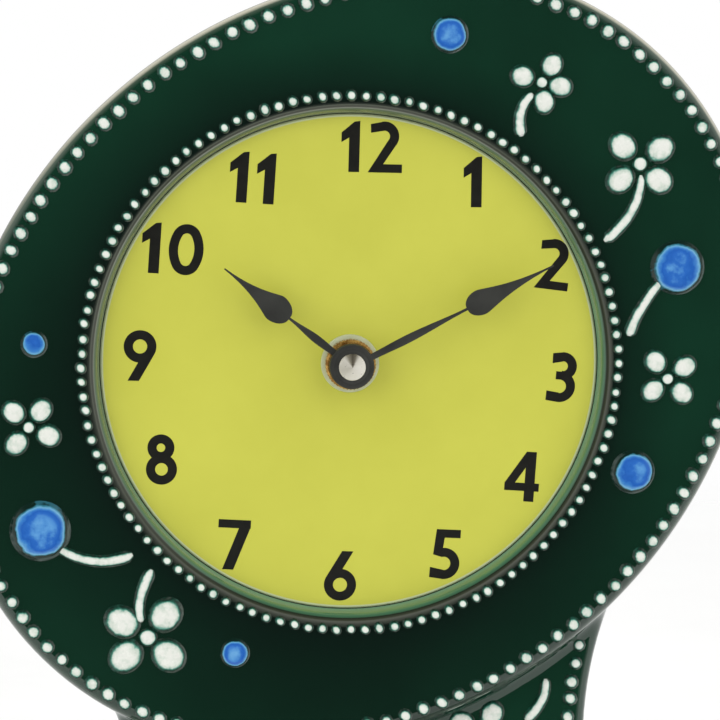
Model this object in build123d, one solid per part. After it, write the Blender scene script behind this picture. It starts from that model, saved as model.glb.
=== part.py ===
from build123d import *
import math
import os

# Table clock: a tilted oval earthenware head on a flared foot, trimmed with raised slip,
# with a quartz movement hung behind its dial. The clock faces -Y and stands on Z = 0.

# Head of the case, an oval of four arcs whose long axis rises to the right
head_long_radius = 91.1
head_short_radius = 75.75
head_end_share = 0.353
head_tilt = 40
head_centre_height = 140.15
head_front = -24.0
head_depth = 38.0
case_wall = 6.0
rim_round = 3.0
round_flat_share = 0.33
back_bevel = 1.6

# Round well that holds the dial, a little off the middle of the oval
dial_shift_x = -1.05
dial_shift_z = -0.15
well_depth = 4.6
well_draft = 8
well_floor = 5.0
lip_depth = 1.5
lip_lean = 48

# Neck and foot, drawn in at the waist and hollow from below
waist_height = 57.0
waist_half_width = 50.0
side_sweep_radius = 85.0
shoulder_radius = 18.0
shoulder_sink = 0.6
neck_set_back = 7.0
neck_depth = 27.0
neck_edge_bevel = 2.5
front_flare_height = 50.0
foot_depth = 66.0
foot_wall = 6.0
foot_hollow_height = 44.0

# Raised slip trim: rows of dots, four-petal flowers, stems and berries
dot_sides = 5
dot_height = 0.8
rim_dot_radius = 1.2
rim_dot_inset = 3.1
rim_dot_pitch = 4.1
lip_dot_radius = 1.05
lip_dot_inset = 3.9
lip_dot_pitch = 3.05
foot_dot_radius = 1.1
foot_dot_inset = 3.9
foot_dot_pitch = 3.9
slip_seat = 0.02
petal_sides = 8
petal_height = 1.0
petal_length_share = 1.1
petal_width_share = 0.95
flower_heart_share = 0.27
flower_reach = 5.1
stem_width = 1.8
stem_height = 0.7
berry_sides = 12
berry_radius = 5.0
berry_height = 1.6

# Flowers on the ring: angle round the dial, place across the ring, reach, petal directions
flower_shares = (
    (58.2, 0.48, 0.82, (60, 162, 277, 347)),
    (34.2, 0.527, 1.0, (36, 133, 218, 321)),
    (354.2, 0.443, 0.83, (34, 128, 220, 313)),
    (187.7, 0.465, 0.84, (57, 136, 230, 334)),
    (234.2, 0.507, 1.2, (51, 148, 223, 318)),
)
# Berries on the ring: angle, place across the ring, radius
berry_shares = (
    (77.2, 0.57, 0.66),
    (172.9, 0.452, 0.48),
    (249.9, 0.369, 0.53),
    (336.2, 0.41, 0.79),
    (13.8, 0.512, 0.97),
    (206.0, 0.569, 1.08),
)
# Stems on the ring: start, middle and end, each an angle and a place across the ring
stem_shares = (
    ((57.9, 0.372), (57.4, 0.282), (54.0, 0.166)),
    ((32.0, 0.472), (27.9, 0.373), (25.3, 0.153)),
    ((231.2, 0.428), (228.3, 0.356), (225.7, 0.183)),
    ((12.0, 0.352), (8.8, 0.249), (4.4, 0.164)),
    ((212.2, 0.484), (217.1, 0.378), (220.7, 0.201)),
)
# Neck flower and stem: shares of the waist's half width and of the neck's height
neck_flower_share = (0.55, 1.04)
neck_flower_reach_share = 0.9
neck_petal_turns = (62, 152, 228, 318)
neck_stem_shares = ((0.83, 1.235), (0.815, 1.16), (0.745, 1.085))

# Dial and the stack at its centre
dial_radius = 52.5
dial_thickness = 0.8
dial_clearance = 0.2
face_washer_radius = 6.15
face_washer_thickness = 0.8
nut_radius = 5.35
nut_thickness = 2.4
nut_bevel = 0.4
bush_radius = 4.0
bush_proud = 0.8
bush_flange_radius = 6.0
bush_spigot_radius = 3.4
bush_hole_clearance = 0.5
thread_clearance = 0.04
rubber_radius = 12.0
rubber_thickness = 1.0

# Hands
hand_thickness = 0.4
hand_collar_radius = 3.3
hand_collar_height = 0.9
hand_hub_radius = 4.7
hand_gap = 0.5
hour_hand_length = 33.6
hour_blade_width = 5.85
hour_hand_angle = 142.1
minute_hand_length = 47.2
minute_blade_width = 5.35
minute_hand_angle = 26.4
stem_root_width = 1.3
stem_swell_width = 1.75
stem_neck_width = 0.55
hand_tip_width = 0.3
cap_radius = 2.8
cap_height = 1.7
cap_bevel = 0.7
# Places along a hand, as shares of its length
hand_swell_share = 0.27
hour_neck_share = 0.49
minute_neck_share = 0.57
hour_widest_share = 0.60
minute_widest_share = 0.64
blade_shoulder_shares = (0.27, 0.78)
blade_lean_shares = (0.08, 0.36)

# Movement housing, measured from the spindle
movement_width = 56.0
movement_rise = 23.0
movement_corner = 3.0
housing_wall = 1.2
cover_thickness = 1.4
cover_clearance = 0.1
partition_wall = 1.0
partition_drop = 16.8
partition_gap = 1.2

# Battery, lying across the foot of the movement
battery_radius = 7.25
battery_length = 50.5
battery_cap_radius = 2.75
battery_cap_length = 1.3
battery_edge_bevel = 0.8
battery_clearance = 0.3
contact_thickness = 0.4
contact_width = 7.0
contact_tail_width = 2.4
contact_gap = 0.1

# Wheel train: layers across the movement, and the clearances in it
wheel_face = 0.8
layer_gap = 0.7
pinion_overhang = 0.25
pivot_radius = 0.4
pivot_clearance = 0.05
pivot_depth = 0.9
pivot_end_gap = 0.1
bridge_thickness = 0.8
bridge_margin = 2.2
post_radius = 1.5
arbor_radius = 1.3
hour_tube_radius = 2.5
fit_clearance = 0.03

# Teeth: straight-flanked and pointed, as shares of the module and of the tooth pitch
addendum_share = 0.8
dedendum_share = 1.1
root_half_share = 0.32

# Tooth counts and modules of the meshing pairs
rotor_leaves = 6
intermediate_teeth = 30
rotor_module = 0.4
intermediate_leaves = 6
seconds_teeth = 36
seconds_module = 0.4
seconds_leaves = 6
third_teeth = 45
third_leaves = 6
centre_teeth = 48
centre_module = 0.3
cannon_leaves = 8
reverse_teeth = 24
motion_module = 0.5
reverse_leaves = 8
hour_teeth = 32
setting_leaves = 8
centre_hub_radius = 2.2

# Directions from one axis to the next, in degrees seen from the front
third_direction = 60
intermediate_direction = 150
rotor_direction = 190
reverse_direction = -80
setting_direction = 200

# Stepping motor and circuit
rotor_magnet_radius = 2.8
rotor_magnet_length = 2.4
stator_gap = 0.4
stator_rim = 1.6
stator_thickness = 0.8
stator_tab = 3.2
core_width = 2.4
core_thickness = 1.2
core_clearance = 0.1
coil_length = 21.0
coil_lift = 4.5
coil_flange = 7.0
coil_flange_thickness = 1.2
coil_tube_radius = 2.0
coil_radius = 3.1
coil_wall_gap = 0.3
board_width = 9.6
board_height = 31.0
board_thickness = 1.0
crystal_radius = 0.75
crystal_length = 5.0
chip_radius = 2.5
chip_height = 1.0

# Setting knob on the back of the movement
knob_radius = 4.5
knob_height = 3.0
knob_gap = 0.3
knob_flutes = 11
knob_flute_depth = 0.5
setting_arbor_radius = 1.2

# Sides of the small round solids, fewer where they repeat
dial_sides = 72
round_sides = 24
tube_sides = 16
staff_sides = 8

# Margin by which a cutting shape runs past what it cuts
overrun = 1.0

# Values worked out from the sizes above
dial_x = dial_shift_x
dial_z = head_centre_height + dial_shift_z
head_back = head_front + head_depth
head_tight_radius = head_short_radius ** 2 / head_long_radius
head_end_radius = head_tight_radius + head_end_share * (head_short_radius - head_tight_radius)
head_flank_radius = (
    head_long_radius ** 2 + head_short_radius ** 2 - 2 * head_long_radius * head_end_radius
) / (2 * (head_short_radius - head_end_radius))
floor_front = head_front + well_depth
floor_back = floor_front + well_floor
dial_front = floor_front - dial_thickness
well_radius = dial_radius + dial_clearance
lip_radius = well_radius + well_depth * math.tan(math.radians(well_draft))
neck_front = head_front + neck_set_back
neck_back = neck_front + neck_depth
neck_top = head_centre_height - head_short_radius / 2
foot_front = -foot_depth / 2
foot_back = foot_depth / 2
movement_front = floor_back + rubber_thickness
half_movement = movement_width / 2
inner_half = half_movement - housing_wall

hour_layer = housing_wall + layer_gap
motion_layer = hour_layer + wheel_face + layer_gap
bridge_layer = motion_layer + wheel_face + layer_gap
centre_layer = bridge_layer + bridge_thickness + layer_gap
third_layer = centre_layer + wheel_face + layer_gap
seconds_layer = third_layer + wheel_face + layer_gap
intermediate_layer = seconds_layer + wheel_face + layer_gap
board_layer = intermediate_layer + wheel_face
cover_layer = board_layer + board_thickness + 2 * crystal_radius + cover_clearance
movement_depth = cover_layer + cover_thickness
coil_layer = board_layer - coil_flange / 2
stator_layer = coil_layer - core_thickness / 2 - stator_thickness

bay_top = -partition_drop - partition_wall
battery_z = bay_top - battery_clearance - battery_radius
bay_bottom = battery_z - battery_radius - battery_clearance
housing_bottom = bay_bottom - housing_wall

nut_front = dial_front - face_washer_thickness - nut_thickness
bush_front = nut_front - bush_proud
hour_hand_front = bush_front - hand_gap - hand_collar_height
minute_hand_front = hour_hand_front - hand_gap - hand_collar_height
arbor_front = minute_hand_front - hand_thickness


def polar(centre, radius, angle):
    """Point at a distance and angle from a centre, in the front view"""
    turn = math.radians(angle)
    return (centre[0] + radius * math.cos(turn), centre[1] + radius * math.sin(turn))


def spread(module, teeth, mate_teeth):
    """Distance between the axes of two meshing wheels"""
    return module * (teeth + mate_teeth) / 2


third_spread = spread(centre_module, third_leaves, centre_teeth)
third_module = 2 * third_spread / (third_teeth + seconds_leaves)
reverse_spread = spread(motion_module, cannon_leaves, reverse_teeth)
hour_module = 2 * reverse_spread / (reverse_leaves + hour_teeth)

# Axes of the train, measured from the spindle in the front view
spindle = (0, 0)
third_axis = polar(spindle, third_spread, third_direction)
intermediate_axis = polar(
    spindle, spread(seconds_module, intermediate_leaves, seconds_teeth), intermediate_direction)
rotor_axis = polar(
    intermediate_axis, spread(rotor_module, rotor_leaves, intermediate_teeth), rotor_direction)
reverse_axis = polar(spindle, reverse_spread, reverse_direction)
setting_axis = polar(
    reverse_axis, spread(motion_module, setting_leaves, reverse_teeth), setting_direction)

# Posts that carry the bridge and the stator, set beside the axes that they hold
bridge_posts = (
    (rotor_axis[0] - bridge_margin, rotor_axis[1] - 2 * bridge_margin),
    (intermediate_axis[0], intermediate_axis[1] + 2 * bridge_margin + post_radius / 2),
    (hour_teeth * hour_module / 2 + bridge_margin + 2 * post_radius, 0),
)
coil_axis_x = -inner_half + coil_wall_gap + coil_flange / 2
stator_half_width = rotor_magnet_radius + stator_gap + stator_rim
coil_bottom = coil_lift - coil_length / 2
coil_top = coil_lift + coil_length / 2
stator_posts = (
    (rotor_axis[0], coil_top + stator_tab / 2),
    (rotor_axis[0], coil_bottom - stator_tab / 2),
)


# Shapes used by many pieces

def slab(outline, front, back):
    """Solid of a front-view outline between two planes across Y"""
    return extrude(Plane.XZ.offset(-back) * outline, back - front)


def at_spindle(point):
    """Place in the front view, measured from the spindle"""
    return Pos(dial_x + point[0], dial_z + point[1])


def disc(point, radius, front, back, sides=round_sides):
    """Round solid about an axis beside the spindle, drawn with flats inside its radius"""
    return slab(at_spindle(point) * RegularPolygon(radius, sides), front, back)


def bore(point, radius, front, back, sides=round_sides):
    """Cutting solid for a round hole, drawn with flats outside its radius"""
    reach = radius / math.cos(math.pi / sides)
    return disc(point, reach, front - overrun, back + overrun, sides)


def across(layer):
    """Place across Y of a layer of the movement"""
    return movement_front + layer


def block(left, right, bottom, top, front, back):
    """Box between two layers of the movement, measured from the spindle"""
    outline = Rectangle(right - left, top - bottom, align=(Align.MIN, Align.MIN))
    return slab(at_spindle((left, bottom)) * outline, across(front), across(back))


def sagitta(radius, height):
    """Sideways drift of an arc that starts upright, after a rise"""
    return radius - math.sqrt(radius ** 2 - height ** 2)


def sweep_radius(drift, height):
    """Radius of the arc that starts upright and drifts sideways by the given amount"""
    return (drift ** 2 + height ** 2) / (2 * drift)


# Case

def oval(inset):
    """Head outline of four arcs seen from the front, drawn in by inset"""
    end_shift = head_long_radius - head_end_radius
    flank_shift = head_flank_radius - head_short_radius
    join = math.degrees(math.atan2(abs(flank_shift), abs(end_shift)))
    arcs = []
    for turn in (0, 180):
        end_centre = polar(spindle, end_shift, turn)
        flank_centre = polar(spindle, flank_shift, turn - 90)
        arcs.append(CenterArc(end_centre, head_end_radius - inset, turn - join, 2 * join))
        arcs.append(CenterArc(flank_centre, head_flank_radius - inset, turn + join, 180 - 2 * join))
    return Pos(0, head_centre_height) * Rot(0, 0, head_tilt) * make_face(arcs)


def half_width(height):
    """Half width of the neck and foot at a height"""
    return waist_half_width + sagitta(side_sweep_radius, waist_height - height)


def far_half_width(height):
    """Half width towards -X"""
    return -half_width(height)


def front_reach(height):
    """Place across Y of the front of the neck and foot at a height"""
    radius = sweep_radius(neck_front - foot_front, front_flare_height)
    return neck_front - sagitta(radius, max(front_flare_height - height, 0))


def back_reach(height):
    """Place across Y of the back of the neck and foot at a height"""
    radius = sweep_radius(foot_back - neck_back, front_flare_height)
    return neck_back + sagitta(radius, max(front_flare_height - height, 0))


def flare(reach, top):
    """Arc that follows a reach from the ground up to a height"""
    return ThreePointArc(*[(reach(height), height) for height in (0, top / 2, top)])


def shoulder_web(side):
    """Web that rounds the corner between one flank of the neck and the head"""
    flank = (side * (waist_half_width + side_sweep_radius), waist_height)
    reach = side_sweep_radius + shoulder_sink
    level = 90 * (1 + side)
    rim = oval(shoulder_sink).wire()
    low, high = -side_sweep_radius / shoulder_radius, 4 * side_sweep_radius / shoulder_radius
    while high - low > 1e-6:
        middle = (low + high) / 2
        centre = polar(flank, reach - shoulder_radius, level - side * middle)
        if rim.distance_to(Vertex(*centre)) > shoulder_radius:
            low = middle
        else:
            high = middle
    start = Vector(*polar(flank, reach, level - side * low))
    end = rim.closest_points(Vertex(*centre))[0]
    hub = Vector(*centre)
    lean = (start + end - 2 * hub).normalized()
    inside = (start + end) / 2 + shoulder_radius * lean
    arc = ThreePointArc(start, hub + shoulder_radius * lean, end)
    outline = make_face([arc, Line(end, inside), Line(inside, start)])
    return slab(outline, neck_front + neck_edge_bevel, neck_back - neck_edge_bevel)


def profile_block(front, back, top, half_span):
    """Solid of the neck's side profile between two reaches, up to a height"""
    edges = [flare(front, front_flare_height), flare(back, front_flare_height)]
    ends = ((front(top), top), (back(top), top))
    edges.append(Line((front(0), 0), (back(0), 0)))
    if top > front_flare_height:
        edges.append(Line((front(front_flare_height), front_flare_height), ends[0]))
        edges.append(Line((back(front_flare_height), front_flare_height), ends[1]))
    edges.append(Line(*ends))
    return extrude(Plane.YZ.offset(-half_span) * make_face(edges), 2 * half_span)


def neck():
    """Neck and foot before they join the head, with their long corners bevelled"""
    top = neck_top
    sides = [flare(half_width, top), flare(far_half_width, top)]
    sides += [Line((far_half_width(height), height), (half_width(height), height)) for height in (0, top)]
    profile = profile_block(front_reach, back_reach, top, head_long_radius)
    solid = slab(make_face(sides), foot_front, foot_back) & profile
    corners = [edge for edge in solid.edges() if is_long_corner(edge)]
    return chamfer(corners, neck_edge_bevel)


def is_long_corner(edge):
    """True for an edge that climbs a corner of the neck outside the head"""
    start, end, middle = edge @ 0, edge @ 1, edge @ 0.5
    climbs = abs(start.Z - end.Z) > neck_edge_bevel
    outside = abs(middle.X) > waist_half_width / 2
    return climbs and outside and edge.geom_type != GeomType.LINE


def foot_hollow():
    """Hollow under the foot, one wall inside its faces"""
    top = foot_hollow_height

    def width(height):
        return half_width(height) - foot_wall

    def other_side(height):
        return -width(height)

    def front(height):
        return front_reach(height) + foot_wall

    def back(height):
        return back_reach(height) - foot_wall

    sides = [flare(width, top), flare(other_side, top)]
    sides += [Line((-width(height), height), (width(height), height)) for height in (0, top)]
    profile = profile_block(front, back, front_flare_height, head_long_radius)
    return slab(make_face(sides), foot_front, foot_back) & profile


def level_edges(solid, depth):
    """Edges of the head that lie at a depth behind its front"""
    level = head_front + depth
    arcs = [edge for edge in solid.edges() if edge.geom_type != GeomType.LINE]
    return [edge for edge in arcs if abs(edge.center().Y - level) < fit_clearance]


def eased_rim(head):
    """Head with its front edge rounded off in three flats"""
    head = chamfer(level_edges(head, 0), rim_round)
    flat = round_flat_share * rim_round
    return chamfer(level_edges(head, 0) + level_edges(head, rim_round), flat)


def well():
    """Tapered well for the dial, its lip opened wider"""
    mouth = Plane.XZ.offset(-floor_front) * at_spindle(spindle)
    hole = extrude(mouth * Circle(well_radius), well_depth, taper=-well_draft)
    lip = Plane.XZ.offset(-head_front - lip_depth) * at_spindle(spindle)
    start = well_radius + (well_depth - lip_depth) * math.tan(math.radians(well_draft))
    return hole + extrude(lip * Circle(start), lip_depth, taper=-lip_lean)


def case_body():
    """One fired shell: oval head with its dial well and open back, neck and hollow foot"""
    head = eased_rim(slab(oval(0), head_front, head_back))
    head = chamfer(level_edges(head, head_depth), back_bevel)
    body = head + neck() + shoulder_web(1) + shoulder_web(-1)
    body -= well()
    body -= slab(oval(case_wall), floor_back, head_back + overrun)
    body -= bore(spindle, bush_radius + bush_hole_clearance, floor_front, floor_back)
    return body - foot_hollow()


# Raised slip trim

def dab(length, width, height, sides):
    """Low pointed dab of slip with a flat back, its tip towards -Y"""
    rim = []
    for step in range(sides):
        turn = 2 * math.pi * step / sides
        rim.append(Vector(length / 2 * math.cos(turn), 0, width / 2 * math.sin(turn)))
    tip = Vector(0, -height, 0)
    skins = [Face(Wire.make_polygon([rim[step - 1], rim[step], tip])) for step in range(sides)]
    skins.append(Face(Wire.make_polygon(rim)))
    return Solid(Shell(skins))


def dot(radius):
    """Round dab of slip"""
    return dab(2 * radius, 2 * radius, dot_height, dot_sides)


def dot_row(line, pitch, radius):
    """Dots at even steps along a closed line of the front view, on the ring face"""
    count = round(line.length / pitch)
    dots = []
    for step in range(count):
        place = line.position_at(line.length * step / count, PositionMode.LENGTH)
        dots.append(Pos(place.X, head_front, place.Y) * dot(radius))
    return Compound(dots)


def rim_dots():
    """Row of dots inside the edge of the head"""
    return dot_row(oval(rim_dot_inset).wire(), rim_dot_pitch, rim_dot_radius)


def lip_dots():
    """Row of dots round the dial"""
    line = at_spindle(spindle) * Circle(dial_radius + lip_dot_inset)
    return dot_row(line.wire(), lip_dot_pitch, lip_dot_radius)


def foot_dots():
    """Rows of dots down both sides of the neck and foot, below the head"""
    head = oval(0).face()
    lean_step = foot_dot_radius
    steps = int(neck_top / foot_dot_pitch)
    dots = []
    for side in (1, -1):
        for step in range(1, steps):
            height = step * foot_dot_pitch
            place = side * (half_width(height) - foot_dot_inset)
            if head.distance_to(Vertex(place, height)) < 2 * foot_dot_radius:
                continue
            slope = front_reach(height - lean_step) - front_reach(height + lean_step)
            lean = math.degrees(math.atan2(-slope, 2 * lean_step))
            seat = Pos(place, front_reach(height), height) * Rot(-lean, 0, 0)
            dots.append(seat * Pos(0, -slip_seat, 0) * dot(foot_dot_radius))
    return Compound(dots)


def ring_place(angle, share):
    """Point on the ring face, between the lip of the well and the edge of the head"""
    inner = polar((dial_x, dial_z), lip_radius, angle)
    turn = math.radians(head_tilt)
    along = head_long_radius * math.cos(math.radians(angle) - turn)
    aside = head_short_radius * math.sin(math.radians(angle) - turn)
    outer_x = along * math.cos(turn) - aside * math.sin(turn)
    outer_z = head_centre_height + along * math.sin(turn) + aside * math.cos(turn)
    return (inner[0] + share * (outer_x - inner[0]), inner[1] + share * (outer_z - inner[1]))


def petals(centre, reach, turns, face):
    """Heart and petals of one flower, the petals' length pointing outwards from its centre"""
    petal = dab(petal_length_share * reach, petal_width_share * reach, petal_height, petal_sides)
    placed = [Pos(centre[0], face, centre[1]) * dot(flower_heart_share * reach)]
    for turn in turns:
        x, z = polar(centre, reach, turn)
        placed.append(Pos(x, face, z) * Rot(0, -turn, 0) * petal)
    return placed


def flower_petals():
    """All hearts and petals: five flowers on the ring and one on the neck"""
    solids = []
    for angle, share, reach_share, turns in flower_shares:
        solids += petals(ring_place(angle, share), reach_share * flower_reach, turns, head_front)
    centre = (neck_flower_share[0] * waist_half_width, neck_flower_share[1] * waist_height)
    reach = neck_flower_reach_share * flower_reach
    solids += petals(centre, reach, neck_petal_turns, neck_front)
    return Compound(solids)


def flower_stems():
    """Curved strokes of slip that lead from the flowers and berries"""
    solids = []
    for ends in stem_shares:
        points = [ring_place(angle, share) for angle, share in ends]
        stroke = trace(ThreePointArc(*points), stem_width)
        solids.append(slab(stroke, head_front - stem_height, head_front))
    points = [(x * waist_half_width, z * waist_height) for x, z in neck_stem_shares]
    stroke = trace(ThreePointArc(*points), stem_width)
    solids.append(slab(stroke, neck_front - stem_height, neck_front))
    return Compound([item for solid in solids for item in solid.solids()])


def berries():
    """Blue berries scattered round the ring"""
    solids = []
    for angle, share, radius_share in berry_shares:
        span = 2 * radius_share * berry_radius
        x, z = ring_place(angle, share)
        height = radius_share * berry_height
        solids.append(Pos(x, head_front, z) * dab(span, span, height, berry_sides))
    return Compound(solids)


# Dial and hub

def dial():
    """Thin round plate in the well"""
    plate = disc(spindle, dial_radius, dial_front, floor_front, dial_sides)
    return plate - bore(spindle, bush_radius + thread_clearance, dial_front, floor_front)


def face_washer():
    """Pale washer between the nut and the dial"""
    front = dial_front - face_washer_thickness
    ring = disc(spindle, face_washer_radius, front, dial_front)
    return ring - bore(spindle, bush_radius + thread_clearance, front, dial_front)


def fixing_nut():
    """Round brass nut that clamps the movement to the case"""
    back = dial_front - face_washer_thickness
    nut = disc(spindle, nut_radius, nut_front, back)
    nut = chamfer(nut.faces().sort_by(Axis.Y)[0].edges(), nut_bevel)
    return nut - bore(spindle, bush_radius + thread_clearance, nut_front, back)


def shaft_bush():
    """Threaded brass bush fixed in the movement, which the hour tube turns in"""
    bush = disc(spindle, bush_radius, bush_front, movement_front - rubber_thickness)
    bush += disc(spindle, bush_flange_radius, movement_front - rubber_thickness, movement_front)
    bush += disc(spindle, bush_spigot_radius, movement_front, across(housing_wall))
    return bush - bore(spindle, hour_tube_radius + pivot_clearance, bush_front, across(housing_wall), tube_sides)


def rubber_washer():
    """Soft washer between the movement and the back of the dial floor"""
    ring = disc(spindle, rubber_radius, floor_back, movement_front)
    return ring - bore(spindle, bush_flange_radius + bush_hole_clearance, floor_back, movement_front)


# Hands

def hand_outline(length, blade_width, neck_share, widest_share):
    """Pear-shaped hand lying along +X, with its round hub at the spindle"""
    neck_at, widest_at = neck_share * length, widest_share * length
    half_blade = blade_width / 2
    run = length - widest_at
    rise = widest_at - neck_at
    root = (0, stem_root_width / 2)
    neck_point = (neck_at, stem_neck_width / 2)
    widest = (widest_at, half_blade)
    tip = (length, hand_tip_width / 2)
    shoulder_point = (neck_at + blade_shoulder_shares[0] * rise, blade_shoulder_shares[1] * half_blade)
    swell = (hand_swell_share * length, stem_swell_width / 2)
    lean = (widest_at + blade_lean_shares[0] * run, half_blade)
    draw_in = (widest_at + blade_lean_shares[1] * run, hand_tip_width)
    half = make_face([
        Line((0, 0), root),
        Spline(root, swell, neck_point),
        ThreePointArc(neck_point, shoulder_point, widest),
        Bezier(widest, lean, draw_in, tip),
        Line(tip, (length, 0)),
        Line((length, 0), (0, 0)),
    ])
    return half + mirror(half, Plane.XZ) + RegularPolygon(hand_hub_radius, round_sides)


def hand(outline, angle, front, hole):
    """Flat hand with a collar behind its hub, turned to its place on the dial"""
    blade = slab(at_spindle(spindle) * Rot(0, 0, angle) * outline, front, front + hand_thickness)
    back = front + hand_collar_height
    blade += disc(spindle, hand_collar_radius, front, back, tube_sides)
    return blade - bore(spindle, hole, front, back, tube_sides)


def hour_hand():
    """Short hand, pressed on the hour tube"""
    outline = hand_outline(hour_hand_length, hour_blade_width, hour_neck_share, hour_widest_share)
    return hand(outline, hour_hand_angle, hour_hand_front, hour_tube_radius + fit_clearance)


def minute_hand():
    """Long hand, held on the minute arbor by the cap nut"""
    outline = hand_outline(minute_hand_length, minute_blade_width, minute_neck_share, minute_widest_share)
    return hand(outline, minute_hand_angle, minute_hand_front, arbor_radius + fit_clearance)


def cap_nut():
    """Domed cap screwed on the end of the minute arbor"""
    front = minute_hand_front - cap_height
    cap = disc(spindle, cap_radius, front, minute_hand_front)
    cap = chamfer(cap.faces().sort_by(Axis.Y)[0].edges(), cap_bevel)
    depth = arbor_front - pivot_end_gap + overrun
    return cap - bore(spindle, arbor_radius + fit_clearance, depth, minute_hand_front, tube_sides)


# Movement housing

def housing_outline():
    """Rounded outline of the movement seen from the front"""
    height = movement_rise - housing_bottom
    middle = (movement_rise + housing_bottom) / 2
    return at_spindle((0, middle)) * RectangleRounded(movement_width, height, movement_corner)


def movement_housing():
    """Open-backed box with the train room above and the battery bay below"""
    box = slab(housing_outline(), movement_front, across(movement_depth))
    ceiling = movement_rise - housing_wall
    back = movement_depth + overrun
    box -= block(-inner_half, inner_half, -partition_drop, ceiling, housing_wall, back)
    box -= block(-inner_half, inner_half, bay_bottom, bay_top, housing_wall, back)
    box -= block(-half_movement - overrun, half_movement + overrun, -partition_drop - partition_wall,
                 movement_rise + overrun, cover_layer, back)
    slot = inner_half - partition_gap
    for left, right in ((-inner_half, -slot), (slot, inner_half)):
        box -= block(left, right, bay_top - overrun, -partition_drop + overrun, housing_wall, back)
    box -= disc(spindle, bush_spigot_radius, movement_front - overrun, across(housing_wall) + overrun)
    for post in bridge_posts:
        box += disc(post, post_radius, across(housing_wall), across(bridge_layer), staff_sides)
    for post in stator_posts:
        box += disc(post, post_radius, across(housing_wall), across(stator_layer), staff_sides)
    pocket = across(housing_wall - pivot_depth) + overrun
    for axis, radius in ((reverse_axis, pivot_radius), (setting_axis, setting_arbor_radius)):
        box -= bore(axis, radius + pivot_clearance, pocket, across(housing_wall), staff_sides)
    return box


def rear_cover():
    """Lid over the train room, with blind bearings for the wheels"""
    lid = slab(housing_outline(), across(cover_layer), across(movement_depth))
    lid -= block(-half_movement - overrun, half_movement + overrun, housing_bottom - overrun,
                 -partition_drop - partition_wall, cover_layer - overrun, movement_depth + overrun)
    pocket = across(cover_layer + pivot_depth) - overrun
    for axis in (spindle, third_axis, intermediate_axis, rotor_axis):
        lid -= bore(axis, pivot_radius + pivot_clearance, across(cover_layer), pocket, staff_sides)
    hole = setting_arbor_radius + pivot_clearance
    return lid - bore(setting_axis, hole, across(cover_layer), across(movement_depth), staff_sides)


def train_bridge():
    """Plate between the motion work and the going train, on three posts"""
    points = bridge_posts + (rotor_axis, third_axis, reverse_axis)
    corners = [Pos(*point) * RegularPolygon(bridge_margin, staff_sides) for point in points]
    hull = make_hull([edge for corner in corners for edge in corner.edges()])
    front, back = across(bridge_layer), across(bridge_layer + bridge_thickness)
    plate = slab(at_spindle(spindle) * hull, front, back)
    for axis in (third_axis, intermediate_axis, rotor_axis, reverse_axis):
        plate -= bore(axis, pivot_radius + pivot_clearance, front, back, staff_sides)
    return plate - bore(spindle, arbor_radius + pivot_clearance, front, back, tube_sides)


# Wheel train

def gear_outline(teeth, module, phase):
    """Toothed outline about the origin, with one tooth at the phase angle"""
    pitch_radius = teeth * module / 2
    root = pitch_radius - dedendum_share * module
    tip = pitch_radius + addendum_share * module
    step = 360 / teeth
    corners = ((root, -root_half_share), (tip, 0), (root, root_half_share))
    points = []
    for tooth in range(teeth):
        for radius, share in corners:
            points.append(polar(spindle, radius, phase + (tooth + share) * step))
    return make_face(Polyline(*points, close=True))


def mesh_phase(phase, teeth, mate_teeth, direction):
    """Phase of a wheel whose gap meets a tooth of its mate, which lies back along a direction"""
    return direction + 180 - (phase - direction) * teeth / mate_teeth - 180 / mate_teeth


def gear(axis, teeth, module, phase, layer, overhang):
    """Toothed slab in a layer of the movement"""
    outline = at_spindle(axis) * gear_outline(teeth, module, phase)
    return slab(outline, across(layer - overhang), across(layer + wheel_face + overhang))


def wheel(axis, layer, teeth, module, phase):
    """Wheel of the train, one face thick"""
    return gear(axis, teeth, module, phase, layer, 0)


def pinion(axis, layer, leaves, module, phase):
    """Pinion of the train, a little longer than the wheel that it meets"""
    return gear(axis, leaves, module, phase, layer, pinion_overhang)


def staff(axis, front_layer, back_layer):
    """Thin arbor of a wheel between two bearings"""
    return disc(axis, pivot_radius, across(front_layer), across(back_layer), staff_sides)


def rear_pivot_end():
    """Layer where the arbors of the going train end in the cover"""
    return cover_layer + pivot_depth - pivot_end_gap


# Phases of the train, each set so that its teeth meet the gaps of its mate
reverse_phase = mesh_phase(0, cannon_leaves, reverse_teeth, reverse_direction)
setting_phase = mesh_phase(reverse_phase, reverse_teeth, setting_leaves, setting_direction)
hour_phase = mesh_phase(0, reverse_leaves, hour_teeth, reverse_direction + 180)
centre_phase = mesh_phase(0, third_leaves, centre_teeth, third_direction + 180)
third_phase = mesh_phase(0, seconds_leaves, third_teeth, third_direction)
seconds_phase = mesh_phase(0, intermediate_leaves, seconds_teeth, intermediate_direction + 180)
intermediate_phase = mesh_phase(0, rotor_leaves, intermediate_teeth, rotor_direction + 180)


def cannon_pinion():
    """Minute arbor with its pinion, from the cap nut to behind the centre wheel"""
    rear = across(centre_layer + wheel_face + pinion_overhang)
    solid = disc(spindle, arbor_radius, arbor_front, rear, tube_sides)
    solid += pinion(spindle, motion_layer, cannon_leaves, motion_module, 0)
    return solid - bore(spindle, pivot_radius + pivot_clearance, across(bridge_layer), rear, staff_sides)


def hour_wheel():
    """Hour wheel and its tube, which carries the short hand"""
    solid = wheel(spindle, hour_layer, hour_teeth, hour_module, hour_phase)
    solid += disc(spindle, hour_tube_radius, hour_hand_front, across(hour_layer), tube_sides)
    rear = across(hour_layer + wheel_face)
    return solid - bore(spindle, arbor_radius + pivot_clearance, hour_hand_front, rear, tube_sides)


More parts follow.
